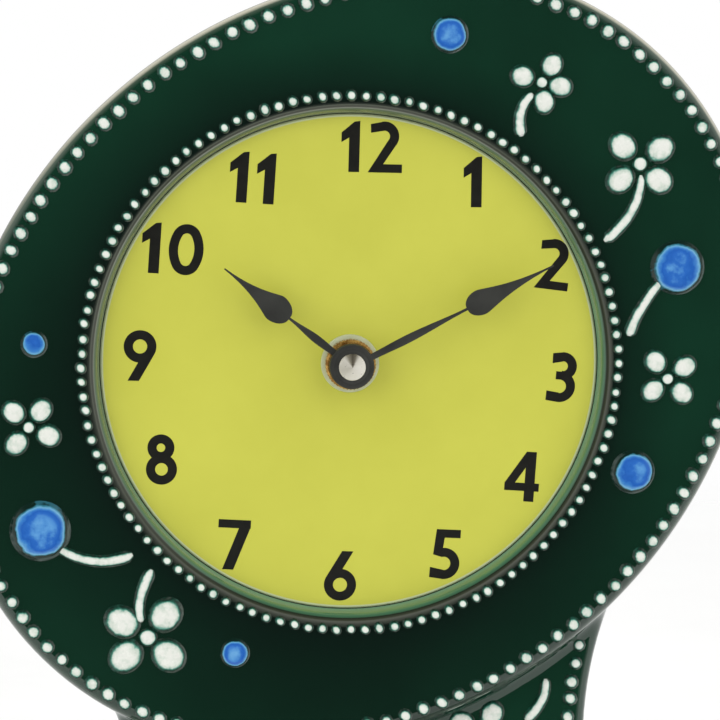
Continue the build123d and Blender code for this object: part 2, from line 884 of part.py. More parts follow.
def reverse_wheel():
    """Intermediate wheel and pinion of the motion work"""
    solid = wheel(reverse_axis, motion_layer, reverse_teeth, motion_module, reverse_phase)
    solid += pinion(reverse_axis, hour_layer, reverse_leaves, hour_module, 0)
    front = housing_wall - pivot_depth + pivot_end_gap
    return solid + staff(reverse_axis, front, bridge_layer + bridge_thickness)


def setting_knob():
    """Fluted knob on the back, on the arbor that turns the motion work"""
    solid = pinion(setting_axis, motion_layer, setting_leaves, motion_module, setting_phase)
    front = across(housing_wall - pivot_depth + pivot_end_gap)
    knob_front = across(movement_depth) + knob_gap
    solid += disc(setting_axis, setting_arbor_radius, front, knob_front, staff_sides)
    corners = []
    for step in range(2 * knob_flutes):
        reach = knob_radius - step % 2 * knob_flute_depth
        corners.append(polar(setting_axis, reach, 180 * step / knob_flutes))
    outline = at_spindle(spindle) * make_face(Polyline(*corners, close=True))
    return solid + slab(outline, knob_front, knob_front + knob_height)


def centre_wheel():
    """Centre wheel, a friction fit on the minute arbor"""
    solid = wheel(spindle, centre_layer, centre_teeth, centre_module, centre_phase)
    solid += disc(spindle, centre_hub_radius, across(centre_layer - pinion_overhang),
                  across(centre_layer + wheel_face), tube_sides)
    return solid - bore(spindle, arbor_radius + fit_clearance, across(bridge_layer), across(third_layer), tube_sides)


def third_wheel():
    """Third wheel, which meets the seconds pinion and drives the centre wheel"""
    solid = wheel(third_axis, third_layer, third_teeth, third_module, third_phase)
    solid += pinion(third_axis, centre_layer, third_leaves, centre_module, 0)
    return solid + staff(third_axis, bridge_layer, rear_pivot_end())


def seconds_wheel():
    """Seconds wheel on the spindle line, its front pivot inside the minute arbor"""
    solid = wheel(spindle, seconds_layer, seconds_teeth, seconds_module, seconds_phase)
    solid += pinion(spindle, third_layer, seconds_leaves, third_module, 0)
    return solid + staff(spindle, bridge_layer + pivot_end_gap, rear_pivot_end())


def intermediate_wheel():
    """Wheel between the rotor and the seconds wheel"""
    solid = wheel(intermediate_axis, intermediate_layer, intermediate_teeth, rotor_module, intermediate_phase)
    solid += pinion(intermediate_axis, seconds_layer, intermediate_leaves, seconds_module, 0)
    return solid + staff(intermediate_axis, bridge_layer, rear_pivot_end())


def rotor_pinion():
    """Staff of the stepping motor, with the pinion that drives the train"""
    solid = pinion(rotor_axis, intermediate_layer, rotor_leaves, rotor_module, 0)
    return solid + staff(rotor_axis, bridge_layer, rear_pivot_end())


def rotor_magnet():
    """Round magnet on the rotor staff, inside the stator"""
    middle = stator_layer + stator_thickness / 2
    front = across(middle - rotor_magnet_length / 2)
    back = across(middle + rotor_magnet_length / 2)
    ring = disc(rotor_axis, rotor_magnet_radius, front, back, tube_sides)
    return ring - bore(rotor_axis, pivot_radius + fit_clearance, front, back, staff_sides)


# Stepping motor and circuit

def stator():
    """Flat plate round the rotor, its two tabs under the ends of the coil core"""
    back = stator_layer + stator_thickness
    left, right = rotor_axis[0] - stator_half_width, rotor_axis[0] + stator_half_width
    bottom, top = coil_bottom - stator_tab, coil_top + stator_tab
    edge = coil_axis_x - core_width / 2
    plate = block(left, right, bottom, top, stator_layer, back)
    plate += block(edge, right, coil_top, top, stator_layer, back)
    plate += block(edge, right, bottom, coil_bottom, stator_layer, back)
    hole = rotor_magnet_radius + stator_gap
    return plate - bore(rotor_axis, hole, across(stator_layer), across(back), tube_sides)


def coil_core():
    """Soft iron strip through the coil"""
    half = core_width / 2
    return block(coil_axis_x - half, coil_axis_x + half, coil_bottom - stator_tab, coil_top + stator_tab,
                 coil_layer - core_thickness / 2, coil_layer + core_thickness / 2)


def coil_ring(radius, bottom, top):
    """Upright round solid about the coil's axis"""
    plane = Plane.XY.offset(dial_z + bottom)
    outline = RegularPolygon(radius, tube_sides)
    return extrude(plane * Pos(dial_x + coil_axis_x, across(coil_layer)) * outline, top - bottom)


def coil_bobbin():
    """Moulded tube with two square flanges"""
    half = coil_flange / 2
    tube = coil_ring(coil_tube_radius, coil_bottom, coil_top)
    for low in (coil_bottom, coil_top - coil_flange_thickness):
        tube += block(coil_axis_x - half, coil_axis_x + half, low, low + coil_flange_thickness,
                      coil_layer - half, coil_layer + half)
    slot = core_width / 2 + core_clearance
    gap = core_thickness / 2 + core_clearance
    return tube - block(coil_axis_x - slot, coil_axis_x + slot, coil_bottom - overrun, coil_top + overrun,
                        coil_layer - gap, coil_layer + gap)


def coil_winding():
    """Copper winding between the flanges"""
    low = coil_bottom + coil_flange_thickness
    high = coil_top - coil_flange_thickness
    hole = coil_ring(coil_tube_radius + fit_clearance, low - overrun, high + overrun)
    return coil_ring(coil_radius, low, high) - hole


def board_left():
    """Left edge of the circuit board, clear of the battery contact beside it"""
    return -inner_half + contact_thickness + contact_gap


def board_bottom():
    """Lower edge of the circuit board"""
    return coil_lift - board_height / 2


def circuit_board():
    """Board soldered to the coil's flanges"""
    return block(board_left(), board_left() + board_width, board_bottom(), board_bottom() + board_height,
                 board_layer, board_layer + board_thickness)


def quartz_crystal():
    """Small round can lying on the back of the board"""
    x = board_left() + board_width / 3
    plane = Plane.XY.offset(dial_z + coil_lift + crystal_length / 2)
    middle = across(board_layer + board_thickness + crystal_radius)
    return extrude(plane * Pos(dial_x + x, middle) * RegularPolygon(crystal_radius, tube_sides), crystal_length)


def timing_chip():
    """Drop of resin over the timing chip, on the back of the board"""
    centre = (board_left() + board_width / 2, coil_lift - crystal_length)
    seat = Pos(dial_x + centre[0], across(board_layer + board_thickness), dial_z + centre[1])
    return seat * Rot(0, 0, 180) * dab(2 * chip_radius, 2 * chip_radius, chip_height, round_sides)


# Battery and its contacts

def battery():
    """Round cell lying across the bay, its raised end to the right"""
    can = battery_length - battery_cap_length
    start = dial_x - battery_length / 2
    line = (across(housing_wall) + contact_gap + battery_radius, dial_z + battery_z)
    cell = extrude(Plane.YZ.offset(start) * Pos(*line) * RegularPolygon(battery_radius, round_sides), can)
    ends = cell.faces().filter_by(Axis.X)
    cell = chamfer([edge for end in ends for edge in end.edges()], battery_edge_bevel)
    button = RegularPolygon(battery_cap_radius, tube_sides)
    return cell + extrude(Plane.YZ.offset(start + can) * Pos(*line) * button, battery_cap_length)


def contact_strip(lines, front, back):
    """Thin strip standing on edge along lines of the front view"""
    outline = Sketch() + [trace(line, contact_thickness) for line in lines]
    return slab(at_spindle(spindle) * outline, across(front), across(back))


def contact_leaf(side):
    """Bowed leaf that presses on one end of the battery"""
    wall = side * (inner_half - contact_thickness / 2)
    nose = side * (battery_length / 2 + contact_gap + contact_thickness / 2)
    reach = battery_radius - contact_thickness
    low, high = (wall, battery_z - reach), (wall, battery_z + reach)
    middle = housing_wall + contact_gap + battery_radius
    leaf = contact_strip([ThreePointArc(low, (nose, battery_z), high)], middle - contact_width / 2,
                         middle + contact_width / 2)
    return leaf, high


def tail_layers():
    """Front and back layers of the strips that lead to the board"""
    middle = board_layer + board_thickness / 2
    return middle - contact_tail_width / 2, middle + contact_tail_width / 2


def negative_contact():
    """Leaf at the flat end of the battery, with its tail up the wall beside the board"""
    leaf, high = contact_leaf(-1)
    return leaf + contact_strip([Line(high, (high[0], coil_bottom))], *tail_layers())


def positive_contact():
    """Leaf at the raised end of the battery, with its tail across the room to the board"""
    leaf, high = contact_leaf(1)
    level = -partition_drop + contact_thickness / 2 + contact_gap
    turn = board_left() + board_width / 2
    corner = (high[0], level)
    foot = (turn, level)
    end = (turn, board_bottom() - contact_gap)
    tail = contact_strip([Line(high, corner), Line(corner, foot), Line(foot, end)], *tail_layers())
    return leaf + tail


pieces = {
    "case_body": case_body,
    "rim_slip_dots": rim_dots,
    "lip_slip_dots": lip_dots,
    "foot_slip_dots": foot_dots,
    "flower_petals": flower_petals,
    "flower_stems": flower_stems,
    "berries": berries,
    "dial": dial,
    "face_washer": face_washer,
    "fixing_nut": fixing_nut,
    "shaft_bush": shaft_bush,
    "rubber_washer": rubber_washer,
    "hour_hand": hour_hand,
    "minute_hand": minute_hand,
    "cap_nut": cap_nut,
    "movement_housing": movement_housing,
    "rear_cover": rear_cover,
    "train_bridge": train_bridge,
    "cannon_pinion": cannon_pinion,
    "hour_wheel": hour_wheel,
    "reverse_wheel": reverse_wheel,
    "setting_knob": setting_knob,
    "centre_wheel": centre_wheel,
    "third_wheel": third_wheel,
    "seconds_wheel": seconds_wheel,
    "intermediate_wheel": intermediate_wheel,
    "rotor_pinion": rotor_pinion,
    "rotor_magnet": rotor_magnet,
    "stator": stator,
    "coil_core": coil_core,
    "coil_bobbin": coil_bobbin,
    "coil_winding": coil_winding,
    "circuit_board": circuit_board,
    "quartz_crystal": quartz_crystal,
    "timing_chip": timing_chip,
    "battery": battery,
    "negative_contact": negative_contact,
    "positive_contact": positive_contact,
}

os.makedirs("parts", exist_ok=True)
for name, build in pieces.items():
    export_step(build(), f"parts/{name}.step")
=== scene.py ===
import logging
import math
import random
from collections.abc import Callable
from dataclasses import KW_ONLY, dataclass, field
from enum import Enum
from functools import cache

import bmesh
import bpy
from bmesh.types import BMEdge, BMesh, BMFace, BMVert
from bpy.types import Material, Node, NodeSocket, NodeTree
from mathutils import Matrix, Vector


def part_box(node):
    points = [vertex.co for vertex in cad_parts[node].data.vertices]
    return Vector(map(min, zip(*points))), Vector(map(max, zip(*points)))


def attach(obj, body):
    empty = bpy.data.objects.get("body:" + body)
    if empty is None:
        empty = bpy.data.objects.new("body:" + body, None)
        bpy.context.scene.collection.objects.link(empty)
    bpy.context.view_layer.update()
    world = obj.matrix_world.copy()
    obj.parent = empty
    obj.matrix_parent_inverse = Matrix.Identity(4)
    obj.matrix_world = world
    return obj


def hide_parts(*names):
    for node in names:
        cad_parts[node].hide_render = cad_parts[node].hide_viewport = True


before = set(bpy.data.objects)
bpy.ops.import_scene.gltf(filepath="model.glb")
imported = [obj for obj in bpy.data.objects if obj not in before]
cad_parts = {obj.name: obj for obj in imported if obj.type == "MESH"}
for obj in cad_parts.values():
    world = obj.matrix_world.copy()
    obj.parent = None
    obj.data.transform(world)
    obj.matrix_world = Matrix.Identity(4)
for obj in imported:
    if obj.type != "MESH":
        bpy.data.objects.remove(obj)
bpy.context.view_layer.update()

# Looks of the glazed table clock. Sizes are millimetres in the frame of the solids and
# are brought to metres when a piece is settled.
MM = 0.001
WELD = 0.001  # millimetres within which vertices of a new mesh become one
TOUCH = 1e-6  # metres within which corners of a solid's loose triangles become one
HALVINGS = 40
ORIGIN = (0.0, 0.0, 0.0)
VALUE = "NodeSocketFloat"
COLOUR = "NodeSocketColor"
Colour = tuple[float, float, float, float]
Point = tuple[float, float]
Stops = tuple[tuple[float, Colour], ...]
Profile = tuple[tuple[float, float, float], ...]
log = logging.getLogger("clock")


class Body(Enum):
    """Bodies of the frame that the pieces ride on."""

    CASE = "case"
    MINUTE = "minute"
    HOUR = "hour"
    BATTERY = "battery"


class Slot(Enum):
    """Material slots of the record, which each finish names."""

    GLAZE = "green_glaze"
    WHITE_SLIP = "white_slip"
    BLUE_SLIP = "blue_slip"
    DIAL = "dial_plate"
    NYLON = "pale_nylon"
    BRASS = "brass"
    PAINT = "hand_paint"
    BRIGHT = "bright_metal"
    SLEEVE = "battery_sleeve"


class Side(Enum):
    """The two flanks of the neck."""

    RIGHT = 1
    LEFT = -1


def tint(red: int, green: int, blue: int) -> Colour:
    """Linear colour of a screen colour.

    Args:
        red: Red from 0 to 255.
        green: Green from 0 to 255.
        blue: Blue from 0 to 255.

    Returns:
        The colour as shader sockets take it.
    """
    def straight(level: int) -> float:
        """Linear value of one screen level."""
        share = level / 255
        return share / 12.92 if share <= 0.04045 else ((share + 0.055) / 1.055) ** 2.4

    return (straight(red), straight(green), straight(blue), 1.0)


def faint(colour: Colour, share: float) -> Colour:
    """Colour that covers only a share of what lies under it."""
    return (*colour[:3], share)


def mix(first: float, second: float, share: float) -> float:
    """Value between two values."""
    return first + (second - first) * share


def ease(share: float) -> float:
    """Share from 0 to 1, eased at both ends."""
    share = min(max(share, 0.0), 1.0)
    return share * share * (3 - 2 * share)


def facing(turn: float, side: float, level: float, swing: float) -> float:
    """Eased share by which a direction in radians looks to a side in degrees."""
    return ease(level + swing * math.cos(turn - math.radians(side)))


def polar(centre: Point, radius: float, angle: float) -> Point:
    """Point of the front view at a distance and an angle in degrees from a centre."""
    turn = math.radians(angle)
    return (centre[0] + radius * math.cos(turn), centre[1] + radius * math.sin(turn))


def arc(centre: Point, reach: Point, start: float, end: float, steps: int) -> list[Point]:
    """Points along an arc with a reach along each axis, from one angle in degrees to another."""
    turns = [math.radians(mix(start, end, step / steps)) for step in range(steps + 1)]
    return [(centre[0] + reach[0] * math.cos(turn), centre[1] + reach[1] * math.sin(turn))
            for turn in turns]


def sagitta(radius: float, height: float) -> float:
    """Sideways drift of an arc that starts upright, after a rise."""
    return radius - math.sqrt(max(radius ** 2 - height ** 2, 0.0))


def flank_arc(half_length: float, half_width: float, end_radius: float) -> float:
    """Radius of the two flank arcs of an oval drawn with four arcs."""
    reach = half_length ** 2 + half_width ** 2 - 2 * half_length * end_radius
    return reach / (2 * (half_width - end_radius))


def halving(low: float, high: float, past: Callable[[float], bool]) -> float:
    """Value at which a test turns true, found by halving.

    Args:
        low: Value before it.
        high: Value past it.
        past: Test whether a value is past it.

    Returns:
        The value.
    """
    for _ in range(HALVINGS):
        middle = (low + high) / 2
        if past(middle):
            high = middle
        else:
            low = middle
    return low


# Shader groups and materials


class Recipe:
    """Node tree of a material or of a shared effect, with short ways to add and join nodes."""

    def __init__(self, tree: NodeTree) -> None:
        """Starts on a node tree."""
        self.tree = tree

    def feed(self, made: Node, **values: object) -> None:
        """Sets or joins inputs of a node.

        Args:
            made: The node.
            values: Values, or outputs to join, by socket name with underscores for blanks.
        """
        for name, value in values.items():
            socket = made.inputs[name.replace("_", " ")]
            if isinstance(value, NodeSocket):
                self.tree.links.new(value, socket)
            else:
                socket.default_value = value

    def node(self, kind: str, **values: object) -> Node:
        """Adds a node.

        Args:
            kind: Blender's name of the node type.
            values: Values, or outputs to join, by socket name.

        Returns:
            The new node.
        """
        made = self.tree.nodes.new(kind)
        self.feed(made, **values)
        return made

    def effect(self, group: NodeTree, **values: object) -> Node:
        """Places a shared effect.

        Args:
            group: The effect's node group.
            values: Values by socket name.

        Returns:
            The group node.
        """
        made = self.node("ShaderNodeGroup")
        made.node_tree = group
        self.feed(made, **values)
        return made

    def place(self) -> NodeSocket:
        """Place on the piece, in its own coordinates."""
        return self.node("ShaderNodeTexCoord").outputs["Object"]

    def attribute(self, name: str) -> NodeSocket:
        """Value painted on the mesh.

        Args:
            name: Name of the mesh's attribute.

        Returns:
            The value output.
        """
        made = self.node("ShaderNodeAttribute")
        made.attribute_name = name
        return made.outputs["Fac"]

    def span(self, source: NodeSocket, smooth: bool = False, **ends: object) -> NodeSocket:
        """Value brought from one range to another.

        Args:
            source: The value.
            smooth: Whether it eases in and out.
            ends: Ends of the two ranges by socket name.

        Returns:
            The value output.
        """
        made = self.node("ShaderNodeMapRange", Value=source, **ends)
        if smooth:
            made.interpolation_type = "SMOOTHSTEP"
        return made.outputs["Result"]

    def reckon(self, operation: str, first: NodeSocket, second: NodeSocket) -> NodeSocket:
        """Value reckoned from two values.

        Args:
            operation: Blender's name of the reckoning.
            first: First value.
            second: Second value.

        Returns:
            The value output.
        """
        made = self.node("ShaderNodeMath")
        made.operation = operation
        for socket, value in zip(made.inputs, (first, second)):
            self.tree.links.new(value, socket)
        return made.outputs["Value"]

    def ramp(self, source: NodeSocket, stops: Stops) -> Node:
        """Colours picked along a value.

        Args:
            source: Value from 0 to 1.
            stops: Places and their colours, in rising order.

        Returns:
            The node, with the outputs Color and Alpha.
        """
        made = self.node("ShaderNodeValToRGB", Fac=source)
        band = made.color_ramp
        while len(band.elements) < len(stops):
            band.elements.new(0.5)
        for element, (place, colour) in zip(band.elements, stops):
            element.position = place
            element.color = colour
        return made

    def blend(self, share: NodeSocket, first: NodeSocket, second: NodeSocket) -> NodeSocket:
        """Colour between two colours.

        Args:
            share: Share of the second colour.
            first: First colour.
            second: Second colour.

        Returns:
            The colour output.
        """
        made = self.node("ShaderNodeMix", Factor=share)
        made.data_type = "RGBA"
        colours = [socket for socket in made.inputs if socket.type == "RGBA"]
        for socket, colour in zip(colours, (first, second)):
            self.tree.links.new(colour, socket)
        return next(socket for socket in made.outputs if socket.type == "RGBA")

    def cover(self, under: NodeSocket, tone: Node) -> NodeSocket:
        """Colour with the colours of a ramp laid over it as far as they cover."""
        return self.blend(tone.outputs["Alpha"], under, tone.outputs["Color"])


def open_group(name: str, inputs: dict[str, str],
               outputs: dict[str, str]) -> tuple[Recipe, Node, Node]:
    """Starts a shader node group.

    Args:
        name: Name of the group.
        inputs: Socket types by input name.
        outputs: Socket types by output name.

    Returns:
        The group's recipe, its input node and its output node.
    """
    tree = bpy.data.node_groups.new(name, "ShaderNodeTree")
    for way, sockets in (("INPUT", inputs), ("OUTPUT", outputs)):
        for label, kind in sockets.items():
            tree.interface.new_socket(label, in_out=way, socket_type=kind)
    recipe = Recipe(tree)
    return recipe, recipe.node("NodeGroupInput"), recipe.node("NodeGroupOutput")


@cache
def mottle() -> NodeTree:
    """Effect that drifts between two colours in soft patches.

    Returns:
        Group with a Colour and a Mask.
    """
    recipe, entry, leave = open_group(
        "mottle", {"Scale": VALUE, "First": COLOUR, "Second": COLOUR},
        {"Colour": COLOUR, "Mask": VALUE})
    cloud = recipe.node("ShaderNodeTexNoise", Vector=recipe.place(), Scale=entry.outputs["Scale"],
                        Detail=4.0, Roughness=0.55)
    mask = recipe.span(cloud.outputs["Fac"], From_Min=0.35, From_Max=0.65)
    shade = recipe.blend(mask, entry.outputs["First"], entry.outputs["Second"])
    recipe.feed(leave, Colour=shade, Mask=mask)
    return recipe.tree


@cache
def grain() -> NodeTree:
    """Effect of a fine uneven surface.

    Returns:
        Group with a Height for bump and a Roughness between two values.
    """
    recipe, entry, leave = open_group(
        "grain", {"Scale": VALUE, "Low": VALUE, "High": VALUE},
        {"Height": VALUE, "Roughness": VALUE})
    cloud = recipe.node("ShaderNodeTexNoise", Vector=recipe.place(), Scale=entry.outputs["Scale"],
                        Detail=3.0)
    rough = recipe.span(cloud.outputs["Fac"], From_Min=0.3, From_Max=0.7,
                        To_Min=entry.outputs["Low"], To_Max=entry.outputs["High"])
    recipe.feed(leave, Height=cloud.outputs["Fac"], Roughness=rough)
    return recipe.tree


@dataclass(frozen=True)
class Finish:
    """Surface with a fine grain, in a colour that each kind of finish works out."""

    name: str
    roughness: tuple[float, float]
    _: KW_ONLY
    metallic: float = 0.0
    grain_size: float = 1.0
    relief: float = 0.02
    slot: Slot | None = None

    @cache
    def material(self) -> Material:
        """Material of the finish, made once.

        Returns:
            The material.
        """
        made = bpy.data.materials.new(self.name)
        made.use_nodes = True
        recipe = Recipe(made.node_tree)
        surface = made.node_tree.nodes["Principled BSDF"]
        low, high = self.roughness
        fine = recipe.effect(grain(), Scale=1 / (self.grain_size * MM), Low=low, High=high)
        bump = recipe.node("ShaderNodeBump", Distance=self.relief * MM,
                           Height=self.height(recipe, fine))
        recipe.feed(surface, Metallic=self.metallic, Base_Color=self.colour(recipe),
                    Roughness=fine.outputs["Roughness"], Normal=bump.outputs["Normal"])
        self.gloss(recipe, surface)
        return made

    def colour(self, recipe: Recipe) -> NodeSocket:
        """Colour of the surface, which each kind of finish gives."""
        raise NotImplementedError(self.name)

    def height(self, recipe: Recipe, fine: Node) -> NodeSocket:
        """Height that the bump follows."""
        return fine.outputs["Height"]

    def gloss(self, recipe: Recipe, surface: Node) -> None:
        """Leaves the shader's other sockets as they are."""


@dataclass(frozen=True)
class Mottled(Finish):
    """Surface that drifts between two colours."""

    first: Colour
    second: Colour
    _: KW_ONLY
    patch: float = 12.0

    def colour(self, recipe: Recipe) -> NodeSocket:
        """Soft patches of the two colours."""
        drift = recipe.effect(mottle(), Scale=1 / (self.patch * MM), First=self.first,
                              Second=self.second)
        return drift.outputs["Colour"]


@dataclass(frozen=True)
class Glaze(Mottled):
    """Glossy coloured glass over clay, paler where it runs thin over an edge, with painted
    reflections and highlights in rings round the lip and a painted highlight on the outer edge.
    """

    _: KW_ONLY
    # Painted reflections and highlights in bands round the lip, a lit copy and a shaded copy; the
    # shaded copy also lays the pooled dark green that fades out from the lip.
    lit_bands: Stops
    dim_bands: Stops
    edges: Stops
    coat: float = 0.6
    coat_roughness: float = 0.03

    def colour(self, recipe: Recipe) -> NodeSocket:
        """Mottled glaze, with the painted reflections of the lip, lit on one side and shaded on the
        other, and the pale outer edge of thin glaze and painted highlight worked in.

        Args:
            recipe: Recipe of the material.

        Returns:
            The colour output.
        """
        body = Mottled.colour(self, recipe)
        lip, thin, lit = (recipe.attribute(name) for name in ("lip", "thin", "lit"))
        dim_tone, lit_tone = recipe.ramp(lip, self.dim_bands), recipe.ramp(lip, self.lit_bands)
        tone = recipe.blend(lit, dim_tone.outputs["Color"], lit_tone.outputs["Color"])
        ringed = recipe.blend(dim_tone.outputs["Alpha"], body, tone)
        return recipe.cover(ringed, recipe.ramp(thin, self.edges))

    def gloss(self, recipe: Recipe, surface: Node) -> None:
        """Adds a clear coat."""
        recipe.feed(surface, Coat_Weight=self.coat, Coat_Roughness=self.coat_roughness)


@dataclass(frozen=True)
class TrailedSlip(Finish):
    """Raised slip whose top is wiped bare and whose foot stays under the glaze, with a painted
    reflection on the glaze round its foot on the light's side.
    """

    _: KW_ONLY
    stops: Stops
    raggedness: float = 0.26
    ragged_size: float = 1.6

    def colour(self, recipe: Recipe) -> NodeSocket:
        """Bands of colour from the foot of each dab to its top, with a ragged border; a grey band
        near the foot is a painted reflection.

        Args:
            recipe: Recipe of the material.

        Returns:
            The colour output.
        """
        level = recipe.attribute("slip")
        patches = recipe.effect(mottle(), Scale=1 / (self.ragged_size * MM))
        shift = recipe.span(patches.outputs["Mask"],
                            To_Min=-self.raggedness, To_Max=self.raggedness)
        wander = recipe.reckon("MULTIPLY", level, shift)
        return recipe.ramp(recipe.reckon("ADD", level, wander), self.stops).outputs["Color"]


@dataclass(frozen=True)
class PrintedPlate(Mottled):
    """Painted plate with a bare pale edge."""

    edge: Colour = tint(200, 210, 164)

    def colour(self, recipe: Recipe) -> NodeSocket:
        """Mottled paint that ends at the bare edge.

        Args:
            recipe: Recipe of the material.

        Returns:
            The colour output.
        """
        stops = ((0.0, faint(self.edge, 0.0)), (1.0, self.edge))
        tone = recipe.ramp(recipe.attribute("rim"), stops)
        return recipe.cover(Mottled.colour(self, recipe), tone)


@dataclass(frozen=True)
class SpunMetal(Finish):
    """Bright metal turned on a lathe, with fine rings about the spindle, coloured with a painted
    reflection.

    The ring unit is the spacing of Blender's rings at scale 1, and the waver is how far they stray.
    """

    _: KW_ONLY
    centre: tuple[float, float, float]
    streaks: Stops
    ring_pitch: float = 0.22
    ring_unit: float = 0.31
    waver: float = 0.4

    def from_spindle(self, recipe: Recipe) -> NodeSocket:
        """Place on the piece, measured from the spindle."""
        shift = -Vector(self.centre) * MM
        return recipe.node(
            "ShaderNodeMapping", Vector=recipe.place(), Location=shift).outputs["Vector"]

    def colour(self, recipe: Recipe) -> NodeSocket:
        """Painted reflection: bright and dark streaks that fan out from the middle.

        Args:
            recipe: Recipe of the material.

        Returns:
            The colour output.
        """
        split = recipe.node("ShaderNodeSeparateXYZ", Vector=self.from_spindle(recipe))
        turn = recipe.reckon("ARCTAN2", split.outputs["X"], split.outputs["Z"])
        share = recipe.span(turn, From_Min=-math.pi, From_Max=math.pi)
        return recipe.ramp(share, self.streaks).outputs["Color"]

    def height(self, recipe: Recipe, fine: Node) -> NodeSocket:
        """Rings about the spindle.

        Args:
            recipe: Recipe of the material.
            fine: The grain effect, not used here.

        Returns:
            The height output.
        """
        rings = recipe.node("ShaderNodeTexWave", Vector=self.from_spindle(recipe),
                            Scale=self.ring_unit / (self.ring_pitch * MM), Distortion=self.waver)
        rings.wave_type = "RINGS"
        rings.rings_direction = "Y"
        return rings.outputs["Fac"]


@dataclass(frozen=True)
class Sleeve(Finish):
    """Plain wrap of a dry cell, dark with a warm band at its raised end."""

    _: KW_ONLY
    first: Colour
    second: Colour
    band: Colour
    start: float
    end: float
    border: float = 0.7
    border_width: float = 0.01

    def colour(self, recipe: Recipe) -> NodeSocket:
        """Two bands along the cell.

        Args:
            recipe: Recipe of the material.

        Returns:
            The colour output.
        """
        split = recipe.node("ShaderNodeSeparateXYZ", Vector=recipe.place())
        along = recipe.span(split.outputs["X"], From_Min=self.start * MM, From_Max=self.end * MM)
        return recipe.ramp(along, (
            (0.0, self.first), (self.border - self.border_width, self.second),
            (self.border, self.band), (1.0, self.band))).outputs["Color"]


@dataclass(frozen=True)
class FloorPaint(Mottled):
    """Pale floor that fades into the white surround between two distances in metres."""

    near: float = 0.3
    far: float = 0.85

    def gloss(self, recipe: Recipe, surface: Node) -> None:
        """Fades the floor out with the distance from the clock.

        Args:
            recipe: Recipe of the material.
            surface: Shader of the floor.
        """
        distance = recipe.node("ShaderNodeVectorMath", Vector=recipe.place())
        distance.operation = "LENGTH"
        fade = recipe.span(distance.outputs["Value"], smooth=True, From_Min=self.near,
                           From_Max=self.far, To_Min=1.0, To_Max=0.0)
        recipe.feed(surface, Alpha=fade)


# Finishes of the pieces


DIAL_CENTRE = (-1.05, 140.0)
POOLED_GREEN = tint(9, 23, 18)
THIN_GREEN = tint(84, 98, 84)
# Pale edge where the glaze runs thinnest, with a painted highlight.
BARE_EDGE_AND_HIGHLIGHT = tint(202, 198, 178)
DARK_FOOT = tint(14, 40, 29)
BERRY_FOOT = tint(14, 40, 32)
CAP_GLINT = tint(226, 222, 208)
GLAZE = Glaze(
    "bottle_green_glaze", (0.05, 0.09), tint(12, 44, 30), tint(17, 56, 39), patch=60, grain_size=14,
    relief=0.04, slot=Slot.GLAZE,
    # Painted reflections on the lit side of the lip: grey lines where the lip mirrors the surround,
    # green where the well's wall mirrors the dial, the first stops pale to fill the shadow in the
    # gap beside the dial.
    lit_bands=(
        (0.0, tint(112, 150, 116)), (0.02, tint(82, 124, 92)), (0.034, tint(74, 118, 88)),
        (0.055, tint(62, 100, 74)), (0.066, tint(34, 42, 30)), (0.088, tint(58, 62, 48)),
        (0.1, tint(90, 93, 84)), (0.125, tint(68, 72, 64)), (0.145, POOLED_GREEN)),
    # The same painted reflections on the shaded side, then the pooled dark green fading out from
    # the lip.
    dim_bands=(
        (0.0, tint(118, 130, 98)), (0.022, tint(92, 106, 80)), (0.036, tint(98, 114, 90)),
        (0.05, tint(80, 96, 74)), (0.062, tint(120, 126, 108)), (0.07, tint(50, 54, 40)),
        (0.082, tint(58, 62, 50)), (0.092, tint(94, 98, 88)), (0.105, tint(44, 50, 44)),
        (0.125, POOLED_GREEN), (0.32, faint(POOLED_GREEN, 0.6)), (0.8, faint(POOLED_GREEN, 0.0))),
    # Pale rim edge: thin glaze, brightening to a painted highlight at full strength.
    edges=(
        (0.0, faint(THIN_GREEN, 0.0)), (0.35, faint(THIN_GREEN, 0.4)),
        (0.6, faint(THIN_GREEN, 0.6)), (1.0, faint(BARE_EDGE_AND_HIGHLIGHT, 0.85))))
WHITE_SLIP = TrailedSlip(
    "trailed_white_slip", (0.18, 0.32), grain_size=0.6, relief=0.03, slot=Slot.WHITE_SLIP,
    # The grey stop between the dark foot stops is a painted reflection, reached only on the light's
    # side.
    stops=(
        (0.04, DARK_FOOT), (0.1, tint(82, 92, 84)), (0.19, DARK_FOOT), (0.32, tint(40, 104, 86)),
        (0.44, tint(104, 166, 148)), (0.57, tint(196, 211, 198)), (0.76, tint(220, 227, 216)),
        (1.0, tint(236, 238, 230))))
BLUE_SLIP = TrailedSlip(
    "trailed_blue_slip", (0.08, 0.16), grain_size=2, relief=0.03, slot=Slot.BLUE_SLIP,
    raggedness=0.3, ragged_size=5.5,
    # The grey stop between the dark foot stops is a painted reflection, reached only on the light's
    # side.
    stops=(
        (0.04, BERRY_FOOT), (0.1, tint(88, 100, 96)), (0.17, BERRY_FOOT), (0.235, BERRY_FOOT),
        (0.28, tint(58, 130, 150)), (0.33, tint(112, 176, 214)), (0.44, tint(62, 130, 202)),
        (0.56, tint(36, 96, 184)), (0.7, tint(46, 108, 194)), (0.84, tint(86, 150, 214)),
        (0.98, tint(112, 172, 222))))
DIAL_PAINT = PrintedPlate(
    "dial_yellow", (0.42, 0.52), tint(209, 210, 78), tint(203, 204, 73), patch=26, grain_size=0.7,
    relief=0.006, slot=Slot.DIAL)
INK = Mottled(
    "number_ink", (0.5, 0.62), tint(19, 19, 14), tint(26, 26, 19), patch=2, grain_size=0.4,
    relief=0.006, slot=Slot.PAINT)
HAND_PAINT = Mottled(
    "black_hand_paint", (0.4, 0.52), tint(46, 47, 44), tint(58, 59, 55), patch=6, grain_size=0.25,
    relief=0.008, slot=Slot.PAINT)
